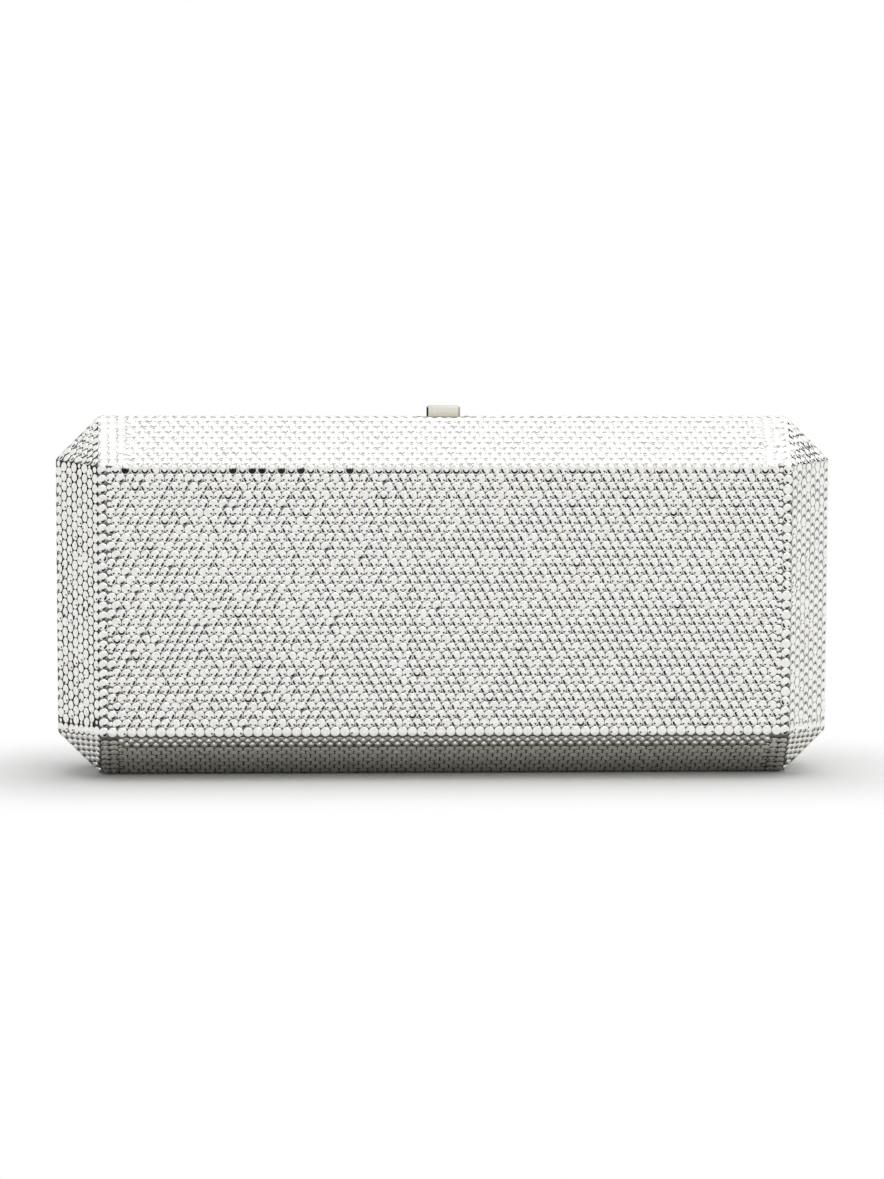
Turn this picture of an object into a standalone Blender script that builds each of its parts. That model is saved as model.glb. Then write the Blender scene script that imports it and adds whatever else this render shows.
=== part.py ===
"""Evening clutch bag: two crystal-set half shells on metal frames, hinged along the bottom seam.

X runs along the width, Y through the depth (the front is -Y) and Z up. The two halves meet at Y = 0, and the
origin is at the middle of the base. All lengths are in metres.
"""
import math

import bmesh
import bpy
from mathutils import Matrix, Vector

# Whole bag, over the stones
OVERALL_WIDTH = 0.190
OVERALL_HEIGHT = 0.0881
OVERALL_DEPTH = 0.037

# Form of each half
BAND_WIDTH = 0.004
BEVEL_INSET = 0.0107
CORNER_CHAMFER = 0.0099

# Fits between pieces
FIT_GAP = 0.0003
GLUE_LINE = 0.00025
SEAM_HALF_GAP = 0.00015
CUT_OVERRUN = 0.001

# Edges sharper than this stay sharp on round pieces
SMOOTH_ANGLE = math.radians(35)

# Crystal layer
STONE_HEIGHT = 0.0009
STONE_EDGE_GAP = 0.00015
STONE_ROW_MARGIN = 0.00005

# Sheet and frame sections
SHELL_WALL = 0.001
FLANGE_WALL = 0.0008
FLANGE_START = 0.0015
FRAME_WALL = 0.001
LINING_WALL = 0.0006
LINING_START = 0.002

# Bottom hinge
BARREL_RADIUS = 0.00135
PIN_RADIUS = 0.0005
PIN_CLEARANCE = 0.0003
LEAF_WALL = 0.0006
HINGE_END_MARGIN = 0.0012
CHANNEL_END_ROOM = 0.0012
KNUCKLE_COUNT = 7
BARREL_SIDES = 20

# Thumb tab and its travel
TAB_LENGTH = 0.0083
TAB_DEPTH = 0.0026
TAB_HEIGHT = 0.0031
TAB_CHAMFER = 0.00045
TAB_FINGER_ROOM = 0.001
STEM_DEPTH = 0.0008
STEM_BITE = 0.0007
SLOT_COVER = 0.00005
SLIDE_TRAVEL = 0.0025

# Slide bar and ramp
BAR_WALL = 0.001
BAR_END_MARGIN = 0.0004
RAMP_DEPTH = 0.0007
RAMP_TIP_HEIGHT = 0.0003
RAMP_FLAT = 0.0023

# Clasp housing
HOUSING_WALL = 0.0004
WINDOW_HEIGHT = 0.0015
EAR_LENGTH = 0.005
EAR_WALL = 0.0006

# Return spring
SPRING_LENGTH = 0.0066
SPRING_RADIUS = 0.00072
SPRING_WIRE_RADIUS = 0.00016
SPRING_TURNS = 6
SPRING_POINTS_PER_TURN = 10

# Screws and rivets
SCREW_SHANK_RADIUS = 0.0006
SCREW_HEAD_RADIUS = 0.0013
SCREW_HEAD_HEIGHT = 0.0007
SCREW_TIP_COVER = 0.0002
RIVET_SHANK_RADIUS = 0.00045
RIVET_HEAD_RADIUS = 0.0009
RIVET_HEAD_HEIGHT = 0.0005
RIVET_PITCH = 0.0026
HEAD_ROUND_SHARE = 0.35
TURNED_SIDES = 16

# Catch spring and its block
CATCH_WALL = 0.0004
CATCH_HALF_WIDTH = 0.0024
CATCH_STRIP_DEPTH = 0.0025
CATCH_SEAM_GAP = 0.0009
CATCH_WINDOW_GAP = 0.0004
NOSE_BITE = 0.0004
NOSE_DEPTH = 0.0005
NOSE_CLEARANCE = 0.0001
BLOCK_START = 0.0086
BLOCK_LENGTH = 0.0054

# Rim and facets, from the sizes above
RIM_HALF_X = OVERALL_WIDTH / 2 - STONE_HEIGHT
RIM_HALF_Z = OVERALL_HEIGHT / 2 - STONE_HEIGHT
CENTRE_Z = OVERALL_HEIGHT / 2
RIM_TOP = CENTRE_Z + RIM_HALF_Z
FACE_Y = OVERALL_DEPTH / 2 - STONE_HEIGHT
CREASE_Y = BAND_WIDTH + FIT_GAP
BEVEL_SLOPE = BEVEL_INSET / (FACE_Y - CREASE_Y)
FLANGE_INSET = FRAME_WALL + FIT_GAP
LINING_INSET = FLANGE_INSET + FLANGE_WALL + FIT_GAP

# Hinge, from the sizes above
LEAF_TOP = STONE_HEIGHT + FRAME_WALL + FIT_GAP + LEAF_WALL
AXIS_Z = LEAF_TOP - BARREL_RADIUS
CHANNEL_HALF_WIDTH = BARREL_RADIUS + FIT_GAP
CHANNEL_HALF_LENGTH = RIM_HALF_X - CORNER_CHAMFER + CHANNEL_END_ROOM
HINGE_HALF_LENGTH = RIM_HALF_X - CORNER_CHAMFER - HINGE_END_MARGIN
BORE_RADIUS = PIN_RADIUS + PIN_CLEARANCE
BAND_STONE_START = CHANNEL_HALF_WIDTH + STONE_ROW_MARGIN

# Clasp, from the sizes above
UNDER_FRAME = FRAME_WALL + FIT_GAP
CLASP_CENTRE_Y = (FIT_GAP + BAND_WIDTH) / 2
CLASP_GAP_HALF = TAB_LENGTH / 2 + SLIDE_TRAVEL + TAB_FINGER_ROOM
STEM_LENGTH = TAB_LENGTH - 2 * (SLIDE_TRAVEL + FIT_GAP + SLOT_COVER)
RAMP_TIP_X = -CATCH_HALF_WIDTH - FIT_GAP
RAMP_END_X = RAMP_TIP_X - SLIDE_TRAVEL - RAMP_FLAT
RAMP_HEIGHT = RAMP_TIP_HEIGHT + NOSE_CLEARANCE + NOSE_BITE + FIT_GAP
BAR_LEFT = RAMP_END_X - BAR_END_MARGIN
LINTEL_DROP = BAR_WALL + RAMP_TIP_HEIGHT + NOSE_CLEARANCE + NOSE_BITE
LINTEL_INSET = UNDER_FRAME + LINTEL_DROP
CATCH_TOP_INSET = LINTEL_INSET + CATCH_WINDOW_GAP
CATCH_MIDDLE_Y = -CATCH_SEAM_GAP - CATCH_STRIP_DEPTH / 2
BLOCK_DEPTH = CATCH_STRIP_DEPTH + 2 * FIT_GAP
HOUSING_HEIGHT = LINTEL_DROP + WINDOW_HEIGHT + HOUSING_WALL
HOUSING_LEFT = BAR_LEFT - FIT_GAP - HOUSING_WALL
HOUSING_RIGHT = -BAR_LEFT + SPRING_LENGTH + 2 * FIT_GAP
HOUSING_END = HOUSING_RIGHT + HOUSING_WALL
HOUSING_FRONT_Y = FIT_GAP
HOUSING_BACK_Y = BAND_WIDTH
BAR_FRONT_Y = HOUSING_FRONT_Y + HOUSING_WALL + FIT_GAP
BAR_BACK_Y = HOUSING_BACK_Y - HOUSING_WALL - FIT_GAP
WINDOW_HALF_WIDTH = CATCH_HALF_WIDTH + 2 * FIT_GAP

# Which way each half lies from the seam
FRONT = -1
REAR = 1

# The eight rim corners by name, counterclockwise from the left end of the bottom edge, seen from the front
RIM_SIGNS = (
    (-1, -1, "x"),
    (1, -1, "x"),
    (1, -1, "z"),
    (1, 1, "z"),
    (1, 1, "x"),
    (-1, 1, "x"),
    (-1, 1, "z"),
    (-1, -1, "z"),
)
FACE_SIGNS = ((-1, -1), (1, -1), (1, 1), (-1, 1))

# The facet that rises from each edge of the rim to the face, in the same order
RIM_FACETS = (
    "bottom",
    "corner_bottom_right",
    "right",
    "corner_top_right",
    "top",
    "corner_top_left",
    "left",
    "corner_bottom_left",
)


def clear_scene():
    """Start from an empty scene."""
    for obj in list(bpy.data.objects):
        bpy.data.objects.remove(obj, do_unlink=True)


def material(name, colour, roughness, metallic):
    """A Principled material with a colour, a roughness and a metallic value."""
    mat = bpy.data.materials.new(name)
    mat.use_nodes = True
    shader = mat.node_tree.nodes["Principled BSDF"]
    shader.inputs["Base Color"].default_value = (*colour, 1)
    shader.inputs["Roughness"].default_value = roughness
    shader.inputs["Metallic"].default_value = metallic
    mat.diffuse_color = (*colour, 1)
    return mat


def stone_material():
    """Clear crystal over silver foil."""
    return material("crystal", (0.82, 0.82, 0.80), 0.12, 0.6)


def plated_material():
    """Bright plated metal with a slightly warm tone."""
    return material("plated_metal", (0.80, 0.78, 0.73), 0.14, 1.0)


def shell_material():
    """Plated sheet of the half shells."""
    return material("shell_metal", (0.62, 0.62, 0.60), 0.35, 1.0)


def lining_material():
    """Silver leather of the linings."""
    return material("lining_leather", (0.58, 0.58, 0.56), 0.45, 0.3)


def steel_material():
    """Steel of the springs, the slide bar and the housing."""
    return material("steel", (0.55, 0.55, 0.56), 0.3, 1.0)


def empty(name, place):
    """An empty that carries a moving body, on its joint's axis."""
    holder = bpy.data.objects.new(name, None)
    holder.location = place
    bpy.context.collection.objects.link(holder)
    return holder


def put(name, bm, mat, origin=(0, 0, 0), parent=None):
    """Turn a bmesh in world places into an object with its origin at a given point."""
    bmesh.ops.recalc_face_normals(bm, faces=bm.faces)
    bmesh.ops.translate(bm, vec=-Vector(origin), verts=bm.verts)
    mesh = bpy.data.meshes.new(name)
    bm.to_mesh(mesh)
    bm.free()
    obj = bpy.data.objects.new(name, mesh)
    bpy.context.collection.objects.link(obj)
    if mat:
        mesh.materials.append(mat)
    if parent:
        obj.parent = parent
        obj.location = Vector(origin) - parent.location
    else:
        obj.location = origin
    return obj


def smooth(obj):
    """Shade a turned or bent piece smooth, with its real edges kept sharp."""
    obj.data.shade_smooth()
    obj.data.set_sharp_from_angle(angle=SMOOTH_ANGLE)


def cut(obj, cutter):
    """Take a cutter away from a piece, and keep the cutter out of the model."""
    change(obj, cutter, "DIFFERENCE")


def join(obj, other):
    """Join a helper solid to a piece, and keep the helper out of the model."""
    change(obj, other, "UNION")


def change(obj, helper, operation):
    """Give a piece a live Boolean with a hidden helper."""
    helper.hide_render = True
    helper.display_type = "WIRE"
    modifier = obj.modifiers.new(helper.name, "BOOLEAN")
    modifier.operation = operation
    modifier.solver = "EXACT"
    modifier.object = helper


def box_into(bm, low, high):
    """Add a closed box between two corners to a bmesh."""
    size = Vector(high) - Vector(low)
    middle = (Vector(high) + Vector(low)) / 2
    bmesh.ops.create_cube(bm, size=1, matrix=Matrix.Translation(middle) @ Matrix.Diagonal((*size, 1)))


def box(name, low, high, mat=None, parent=None, origin=(0, 0, 0)):
    """A box between two corners."""
    bm = bmesh.new()
    box_into(bm, low, high)
    return put(name, bm, mat, origin, parent)


def prism_into(bm, outline, start, end):
    """Add a solid to a bmesh: an outline of (y, z) points swept along X."""
    near = [bm.verts.new((start, y, z)) for y, z in outline]
    far = [bm.verts.new((end, y, z)) for y, z in outline]
    bm.faces.new(near)
    bm.faces.new(far)
    for i in range(len(outline)):
        j = (i + 1) % len(outline)
        bm.faces.new((near[i], near[j], far[j], far[i]))


def circle(radius, y, z, sides):
    """Points of a circle in the YZ plane."""
    turns = [2 * math.pi * i / sides for i in range(sides)]
    return [(y + radius * math.cos(a), z + radius * math.sin(a)) for a in turns]


def turned_into(bm, profile, sides):
    """Add a solid turned about Z from (radius, height) points that start and end on the axis."""
    rings = []
    for radius, height in profile:
        if radius == 0:
            rings.append([bm.verts.new((0, 0, height))])
        else:
            turns = [2 * math.pi * i / sides for i in range(sides)]
            rings.append([bm.verts.new((radius * math.cos(a), radius * math.sin(a), height)) for a in turns])
    for low, high in zip(rings, rings[1:]):
        for i in range(sides):
            j = (i + 1) % sides
            ends = (low[i % len(low)], low[j % len(low)], high[j % len(high)], high[i % len(high)])
            bm.faces.new(list(dict.fromkeys(ends)))


def rim_ring(side, inset, depth):
    """The rim's eight corners, moved in by an inset, at a depth from the seam."""
    chamfer = CORNER_CHAMFER - inset * (2 - math.sqrt(2))
    ring = []
    for sx, sz, shortened in RIM_SIGNS:
        x = RIM_HALF_X - inset - (chamfer if shortened == "x" else 0)
        z = RIM_HALF_Z - inset - (chamfer if shortened == "z" else 0)
        ring.append(Vector((sx * x, side * depth, CENTRE_Z + sz * z)))
    return ring


def face_corners(side, inset, depth):
    """The four corners of the flat face at a depth from the seam."""
    x = RIM_HALF_X - inset
    z = RIM_HALF_Z - inset
    return [Vector((sx * x, side * depth, CENTRE_Z + sz * z)) for sx, sz in FACE_SIGNS]


def per_rim_corner(corners):
    """The four corners of a face, each given once for either of the two rim corners beside it."""
    return [corner for corner in corners for _ in range(2)][1:] + corners[:1]


def bevel_inset(depth, below):
    """How far in from the rim the bevel lies at a depth, for the plane that lies below its outer face."""
    return BEVEL_SLOPE * (depth - CREASE_Y) + below * math.hypot(1, BEVEL_SLOPE)


def bevel_depth(inset, below):
    """The depth at which that plane reaches an inset from the rim."""
    return CREASE_Y + (inset - below * math.hypot(1, BEVEL_SLOPE)) / BEVEL_SLOPE


def bridge(bm, first, second):
    """Join two rings of corners with faces, where a corner may serve twice."""
    for i in range(len(first)):
        j = (i + 1) % len(first)
        corners = list(dict.fromkeys((first[i], first[j], second[j], second[i])))
        if len(corners) > 2:
            bm.faces.new(corners)


def skin_into(bm, rings, face):
    """Add one skin of a tray: its rings from the mouth inward, and the face that closes it."""
    made = [[bm.verts.new(p) for p in ring] for ring in rings]
    corners = [bm.verts.new(p) for p in face]
    made.append(per_rim_corner(corners))
    for first, second in zip(made, made[1:]):
        bridge(bm, first, second)
    bm.faces.new(corners)
    return made[0]


def tray(name, outer, inner, mat, parent, origin):
    """A thin-walled half case from the rings of its outer and inner skins."""
    bm = bmesh.new()
    bridge(bm, skin_into(bm, *outer), skin_into(bm, *inner))
    return put(name, bm, mat, origin, parent)


def half_shell(side, name, mat, parent, origin):
    """The pressed shell of one half: face, bevels, corner facets and the flange that seats in the frame."""
    flange_inner = FLANGE_INSET + FLANGE_WALL
    outer = [
        rim_ring(side, FLANGE_INSET, FLANGE_START),
        rim_ring(side, FLANGE_INSET, CREASE_Y),
        rim_ring(side, 0, CREASE_Y),
    ]
    inner = [
        rim_ring(side, flange_inner, FLANGE_START),
        rim_ring(side, flange_inner, bevel_depth(flange_inner, SHELL_WALL)),
    ]
    inner_face = FACE_Y - SHELL_WALL
    return tray(
        name,
        (outer, face_corners(side, BEVEL_INSET, FACE_Y)),
        (inner, face_corners(side, bevel_inset(inner_face, SHELL_WALL), inner_face)),
        mat,
        parent,
        origin,
    )


def half_lining(side, name, mat, parent, origin):
    """The lining of one half, glued inside its shell."""
    outside = SHELL_WALL + FIT_GAP
    inside = outside + LINING_WALL
    inner_inset = LINING_INSET + LINING_WALL
    outer = [
        rim_ring(side, LINING_INSET, LINING_START),
        rim_ring(side, LINING_INSET, bevel_depth(LINING_INSET, outside)),
    ]
    inner = [
        rim_ring(side, inner_inset, LINING_START),
        rim_ring(side, inner_inset, bevel_depth(inner_inset, inside)),
    ]
    return tray(
        name,
        (outer, face_corners(side, bevel_inset(FACE_Y - outside, outside), FACE_Y - outside)),
        (inner, face_corners(side, bevel_inset(FACE_Y - inside, inside), FACE_Y - inside)),
        mat,
        parent,
        origin,
    )


def closed_band(name, side, section, mat, parent, origin):
    """A ring that follows the rim, from the (inset, depth) points of its section."""
    bm = bmesh.new()
    rings = [[bm.verts.new(p) for p in rim_ring(side, inset, depth)] for inset, depth in section]
    for first, second in zip(rings, rings[1:] + rings[:1]):
        bridge(bm, first, second)
    return put(name, bm, mat, origin, parent)


def half_frame(side, name, mat, parent, origin):
    """The metal frame around one mouth, cut back at the bottom for the hinge barrel."""
    section = [
        (0, SEAM_HALF_GAP),
        (0, BAND_WIDTH),
        (FRAME_WALL, BAND_WIDTH),
        (FRAME_WALL, SEAM_HALF_GAP),
    ]
    frame = closed_band(name, side, section, mat, parent, origin)
    far_y = side * CHANNEL_HALF_WIDTH
    near_y = -side * CUT_OVERRUN
    low = (-CHANNEL_HALF_LENGTH, min(far_y, near_y), 0)
    high = (CHANNEL_HALF_LENGTH, max(far_y, near_y), LEAF_TOP)
    cut(frame, box(name + "_channel_cutter", low, high))
    return frame


def band_stones(side, name, mat, parent, origin):
    """The row of stones on the flat edge, left open at the top for the clasp."""
    section = [
        (-GLUE_LINE, BAND_STONE_START),
        (-STONE_HEIGHT, BAND_STONE_START),
        (-STONE_HEIGHT, CREASE_Y),
        (-GLUE_LINE, BAND_WIDTH),
    ]
    stones = closed_band(name, side, section, mat, parent, origin)
    reach = OVERALL_DEPTH / 2
    low = (-CLASP_GAP_HALF, -reach, RIM_TOP - FRAME_WALL)
    high = (CLASP_GAP_HALF, reach, RIM_TOP + STONE_HEIGHT + CUT_OVERRUN)
    cut(stones, box(name + "_clasp_cutter", low, high))
    return stones


def half_facets(side):
    """The outer facets of one half, each as its corners, with the flat band as their neighbour at the rim."""
    rim = rim_ring(side, 0, CREASE_Y)
    seam = rim_ring(side, 0, 0)
    face = face_corners(side, BEVEL_INSET, FACE_Y)
    beside = per_rim_corner(face)
    facets = {"face": face}
    bands = {}
    for i, name in enumerate(RIM_FACETS):
        j = (i + 1) % len(rim)
        tops = [beside[i]] if beside[i] == beside[j] else [beside[j], beside[i]]
        facets[name] = [rim[i], rim[j], *tops]
        bands["band_" + name] = [seam[i], seam[j], rim[j], rim[i]]
    return facets, facets | bands


def outward(corners, side):
    """The unit normal of a facet that points away from the inside of its half."""
    normal = (corners[1] - corners[0]).cross(corners[2] - corners[1]).normalized()
    inside = Vector((0, 0, CENTRE_Z))
    return normal if normal.dot(corners[0] - inside) > 0 else -normal


def edge_key(a, b):
    """A name for the edge between two corners that both of its facets share."""
    return frozenset((tuple(round(v, 6) for v in a), tuple(round(v, 6) for v in b)))


def mitred(corners, normal, edge_normals, height):
    """A facet's corners at a height above it, between the mitre planes that it shares with its neighbours."""
    planes = []
    middle = sum(corners, Vector()) / len(corners)
    for i, corner in enumerate(corners):
        along = (corners[(i + 1) % len(corners)] - corner).normalized()
        mitre = along.cross(normal + edge_normals[i]).normalized()
        planes.append(mitre if mitre.dot(middle - corner) > 0 else -mitre)
    moved = []
    for i, corner in enumerate(corners):
        rows = Matrix((normal, planes[i - 1], planes[i]))
        moved.append(corner + rows.inverted() @ Vector((height, STONE_EDGE_GAP, STONE_EDGE_GAP)))
    return moved


def facet_stones(side, prefix, mat, parent, origin):
    """One sheet of stones for each facet of a half, mitred to its neighbours along the creases."""
    facets, neighbours = half_facets(side)
    normals = {key: outward(corners, side) for key, corners in neighbours.items()}
    owners = {}
    for key, corners in neighbours.items():
        for i, corner in enumerate(corners):
            owners.setdefault(edge_key(corner, corners[(i + 1) % len(corners)]), []).append(key)
    for key, corners in facets.items():
        beside = []
        for i, corner in enumerate(corners):
            pair = owners[edge_key(corner, corners[(i + 1) % len(corners)])]
            beside.append(normals[pair[0] if pair[1] == key else pair[1]])
        bm = bmesh.new()
        low = [bm.verts.new(p) for p in mitred(corners, normals[key], beside, GLUE_LINE)]
        high = [bm.verts.new(p) for p in mitred(corners, normals[key], beside, STONE_HEIGHT)]
        bm.faces.new(low)
        bm.faces.new(high)
        bridge(bm, low, high)
        put(prefix + "_" + key + "_stones", bm, mat, origin, parent)


def leaf_outline(side):
    """The section of a hinge leaf: its barrel, and the strip that runs level from the barrel's top."""
    low = LEAF_TOP - LEAF_WALL
    start = math.asin((low - AXIS_Z) / BARREL_RADIUS)
    sweep = start + 1.5 * math.pi
    outline = [(side * BAND_WIDTH, LEAF_TOP), (side * BAND_WIDTH, low)]
    for i in range(BARREL_SIDES + 1):
        turn = start - sweep * i / BARREL_SIDES
        y = side * BARREL_RADIUS * math.cos(turn)
        outline.append((y, AXIS_Z + BARREL_RADIUS * math.sin(turn)))
    return outline


def knuckle_comb(side, name):
    """Boxes that clear the other leaf's knuckles out of a leaf."""
    pitch = 2 * HINGE_HALF_LENGTH / KNUCKLE_COUNT
    edge = side * CHANNEL_HALF_WIDTH
    reach = -edge
    comb = bmesh.new()
    for i in range(KNUCKLE_COUNT):
        own = (i % 2 == 0) == (side == REAR)
        if own:
            continue
        start = -HINGE_HALF_LENGTH + i * pitch
        end = start + pitch
        start -= CUT_OVERRUN if i == 0 else FIT_GAP / 2
        end += CUT_OVERRUN if i == KNUCKLE_COUNT - 1 else FIT_GAP / 2
        low = (start, min(edge, reach), AXIS_Z - BARREL_RADIUS - CUT_OVERRUN)
        high = (end, max(edge, reach), LEAF_TOP + CUT_OVERRUN)
        box_into(comb, low, high)
    return put(name, comb, None)


def hinge_leaf(side, name, mat, parent, origin):
    """One leaf of the bottom hinge, with every other knuckle and the bore for the pin."""
    bm = bmesh.new()
    prism_into(bm, leaf_outline(side), -HINGE_HALF_LENGTH, HINGE_HALF_LENGTH)
    leaf = put(name, bm, mat, origin, parent)
    cut(leaf, knuckle_comb(side, name + "_comb_cutter"))
    reach = HINGE_HALF_LENGTH + CUT_OVERRUN
    bore = bmesh.new()
    prism_into(bore, circle(BORE_RADIUS, 0, AXIS_Z, BARREL_SIDES), -reach, reach)
    cut(leaf, put(name + "_bore_cutter", bore, None))
    smooth(leaf)


def hinge_pin(mat):
    """The pin through all the knuckles."""
    bm = bmesh.new()
    prism_into(bm, circle(PIN_RADIUS, 0, AXIS_Z, BARREL_SIDES), -HINGE_HALF_LENGTH, HINGE_HALF_LENGTH)
    smooth(put("hinge_pin", bm, mat, (0, 0, AXIS_Z)))


def flange_cutter(name, side, left, right, low, high):
    """A box that clears the flange of a shell or a lining between two heights."""
    near = side * SEAM_HALF_GAP
    far = side * (CREASE_Y + FIT_GAP)
    return box(name, (left, min(near, far), low), (right, max(near, far), high))


def thumb_tab(mat, parent, origin):
    """The chamfered block that the thumb slides, with the stem that reaches through the frame."""
    bottom = RIM_TOP + FIT_GAP
    low = (-TAB_LENGTH / 2, CLASP_CENTRE_Y - TAB_DEPTH / 2, bottom)
    high = (TAB_LENGTH / 2, CLASP_CENTRE_Y + TAB_DEPTH / 2, bottom + TAB_HEIGHT)
    tab = box("thumb_tab", low, high, mat, parent, origin)
    bevel = tab.modifiers.new("chamfer", "BEVEL")
    bevel.width = TAB_CHAMFER
    bevel.segments = 1
    stem_low = (-STEM_LENGTH / 2, CLASP_CENTRE_Y - STEM_DEPTH / 2, RIM_TOP - UNDER_FRAME - STEM_BITE)
    stem_high = (STEM_LENGTH / 2, CLASP_CENTRE_Y + STEM_DEPTH / 2, bottom + TAB_HEIGHT / 2)
    join(tab, box("thumb_tab_stem", stem_low, stem_high))


def slide_ramp():
    """The ramp under the slide bar that presses the catch spring's nose down."""
    top = RIM_TOP - UNDER_FRAME - BAR_WALL
    outline = (
        (RAMP_END_X, top + BAR_WALL / 2),
        (RAMP_TIP_X, top + BAR_WALL / 2),
        (RAMP_TIP_X, top - RAMP_TIP_HEIGHT),
        (RAMP_TIP_X - SLIDE_TRAVEL, top - RAMP_HEIGHT),
        (RAMP_END_X, top - RAMP_HEIGHT),
    )
    bm = bmesh.new()
    front = [bm.verts.new((x, BAR_FRONT_Y, z)) for x, z in outline]
    back = [bm.verts.new((x, BAR_FRONT_Y + RAMP_DEPTH, z)) for x, z in outline]
    bm.faces.new(front)
    bm.faces.new(back)
    bridge(bm, front, back)
    return put("slide_bar_ramp", bm, None)


def slide_bar(mat, parent, origin):
    """The bar under the frame, with the hole for the stem and the ramp that frees the catch."""
    top = RIM_TOP - UNDER_FRAME
    low = (BAR_LEFT, BAR_FRONT_Y, top - BAR_WALL)
    bar = box("slide_bar", low, (-BAR_LEFT, BAR_BACK_Y, top), mat, parent, origin)
    join(bar, slide_ramp())
    hole_x = STEM_LENGTH / 2 + FIT_GAP
    hole_y = STEM_DEPTH / 2 + FIT_GAP
    hole_low = (-hole_x, CLASP_CENTRE_Y - hole_y, top - BAR_WALL - CUT_OVERRUN)
    hole_high = (hole_x, CLASP_CENTRE_Y + hole_y, top + CUT_OVERRUN)
    cut(bar, box("slide_bar_hole_cutter", hole_low, hole_high))


def stem_slot_cutter():
    """The slot in the rear frame that the stem slides in."""
    side_y = STEM_DEPTH / 2 + FIT_GAP
    low = (-STEM_LENGTH / 2 - FIT_GAP, CLASP_CENTRE_Y - side_y, RIM_TOP - FRAME_WALL - CUT_OVERRUN)
    high = (
        STEM_LENGTH / 2 + SLIDE_TRAVEL + FIT_GAP,
        CLASP_CENTRE_Y + side_y,
        RIM_TOP + CUT_OVERRUN,
    )
    return box("rear_frame_slot_cutter", low, high)


def screw_places():
    """Where the two screws of the clasp housing stand, along X."""
    return {
        "left": HOUSING_LEFT - EAR_LENGTH / 2,
        "right": HOUSING_END + EAR_LENGTH / 2,
    }


def rod_cutter(name, radius, x, y, low, high):
    """An upright round cutter."""
    bm = bmesh.new()
    turned_into(bm, ((0, low), (radius, low), (radius, high), (0, high)), TURNED_SIDES)
    bmesh.ops.translate(bm, vec=(x, y, 0), verts=bm.verts)
    return put(name, bm, None)


def clasp_housing(mat):
    """The open-topped channel under the rear frame, with a window for the catch and an ear at each end."""
    top = RIM_TOP - UNDER_FRAME
    floor = top - HOUSING_HEIGHT
    housing_low = (HOUSING_LEFT, HOUSING_FRONT_Y, floor)
    housing = box("clasp_housing", housing_low, (HOUSING_END, HOUSING_BACK_Y, top), mat)
    ear_low = (HOUSING_LEFT - EAR_LENGTH, HOUSING_FRONT_Y + FIT_GAP, top - EAR_WALL)
    ear_high = (HOUSING_END + EAR_LENGTH, HOUSING_BACK_Y, top)
    join(housing, box("clasp_housing_ears", ear_low, ear_high))
    room_low = (HOUSING_LEFT + HOUSING_WALL, HOUSING_FRONT_Y + HOUSING_WALL, floor + HOUSING_WALL)
    room_high = (HOUSING_RIGHT, HOUSING_BACK_Y - HOUSING_WALL, top + CUT_OVERRUN)
    cut(housing, box("clasp_housing_room_cutter", room_low, room_high))
    window_back = HOUSING_FRONT_Y + HOUSING_WALL + CUT_OVERRUN / 2
    window_low = (-WINDOW_HALF_WIDTH, HOUSING_FRONT_Y - CUT_OVERRUN, floor + HOUSING_WALL)
    window_high = (WINDOW_HALF_WIDTH, window_back, RIM_TOP - LINTEL_INSET)
    cut(housing, box("clasp_housing_window_cutter", window_low, window_high))
    for end, x in screw_places().items():
        hole = rod_cutter(
            "clasp_housing_%s_hole_cutter" % end,
            SCREW_SHANK_RADIUS + FIT_GAP,
            x,
            CLASP_CENTRE_Y,
            top - EAR_WALL - CUT_OVERRUN,
            top + CUT_OVERRUN,
        )
        cut(housing, hole)


def fastener(name, head_radius, head_height, shank_radius, shank_length, place, mat, parent=None):
    """A screw or rivet that points up: a domed head below and its shank above the head's seat."""
    shoulder = head_height * (1 - HEAD_ROUND_SHARE)
    profile = (
        (0, -head_height),
        (head_radius * (1 - HEAD_ROUND_SHARE), -head_height),
        (head_radius, -shoulder),
        (head_radius, 0),
        (shank_radius, 0),
        (shank_radius, shank_length),
        (0, shank_length),
    )
    bm = bmesh.new()
    turned_into(bm, profile, TURNED_SIDES)
    bmesh.ops.translate(bm, vec=place, verts=bm.verts)
    smooth(put(name, bm, mat, place, parent))


def housing_screws(mat):
    """The two screws that hold the clasp housing up to the rear frame."""
    seat = RIM_TOP - UNDER_FRAME - EAR_WALL - FIT_GAP
    length = RIM_TOP - SCREW_TIP_COVER - seat
    for end, x in screw_places().items():
        fastener(
            "housing_screw_" + end,
            SCREW_HEAD_RADIUS,
            SCREW_HEAD_HEIGHT,
            SCREW_SHANK_RADIUS,
            length,
            (x, CLASP_CENTRE_Y, seat),
            mat,
        )


def return_spring(mat):
    """The coil spring that pushes the slide bar back."""
    start = -BAR_LEFT + FIT_GAP + SPRING_WIRE_RADIUS
    length = SPRING_LENGTH - 2 * SPRING_WIRE_RADIUS
    middle_z = RIM_TOP - UNDER_FRAME - SPRING_RADIUS - SPRING_WIRE_RADIUS
    count = SPRING_TURNS * SPRING_POINTS_PER_TURN
    curve = bpy.data.curves.new("return_spring", "CURVE")
    curve.dimensions = "3D"
    curve.bevel_depth = SPRING_WIRE_RADIUS
    curve.bevel_resolution = 1
    curve.use_fill_caps = True
    spline = curve.splines.new("POLY")
    spline.points.add(count)
    for i, point in enumerate(spline.points):
        turn = 2 * math.pi * i / SPRING_POINTS_PER_TURN
        y = CLASP_CENTRE_Y + SPRING_RADIUS * math.cos(turn)
        point.co = (start + length * i / count, y, middle_z + SPRING_RADIUS * math.sin(turn), 1)
    curve.materials.append(mat)
    spring = bpy.data.objects.new("return_spring", curve)
    bpy.context.collection.objects.link(spring)


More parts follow.
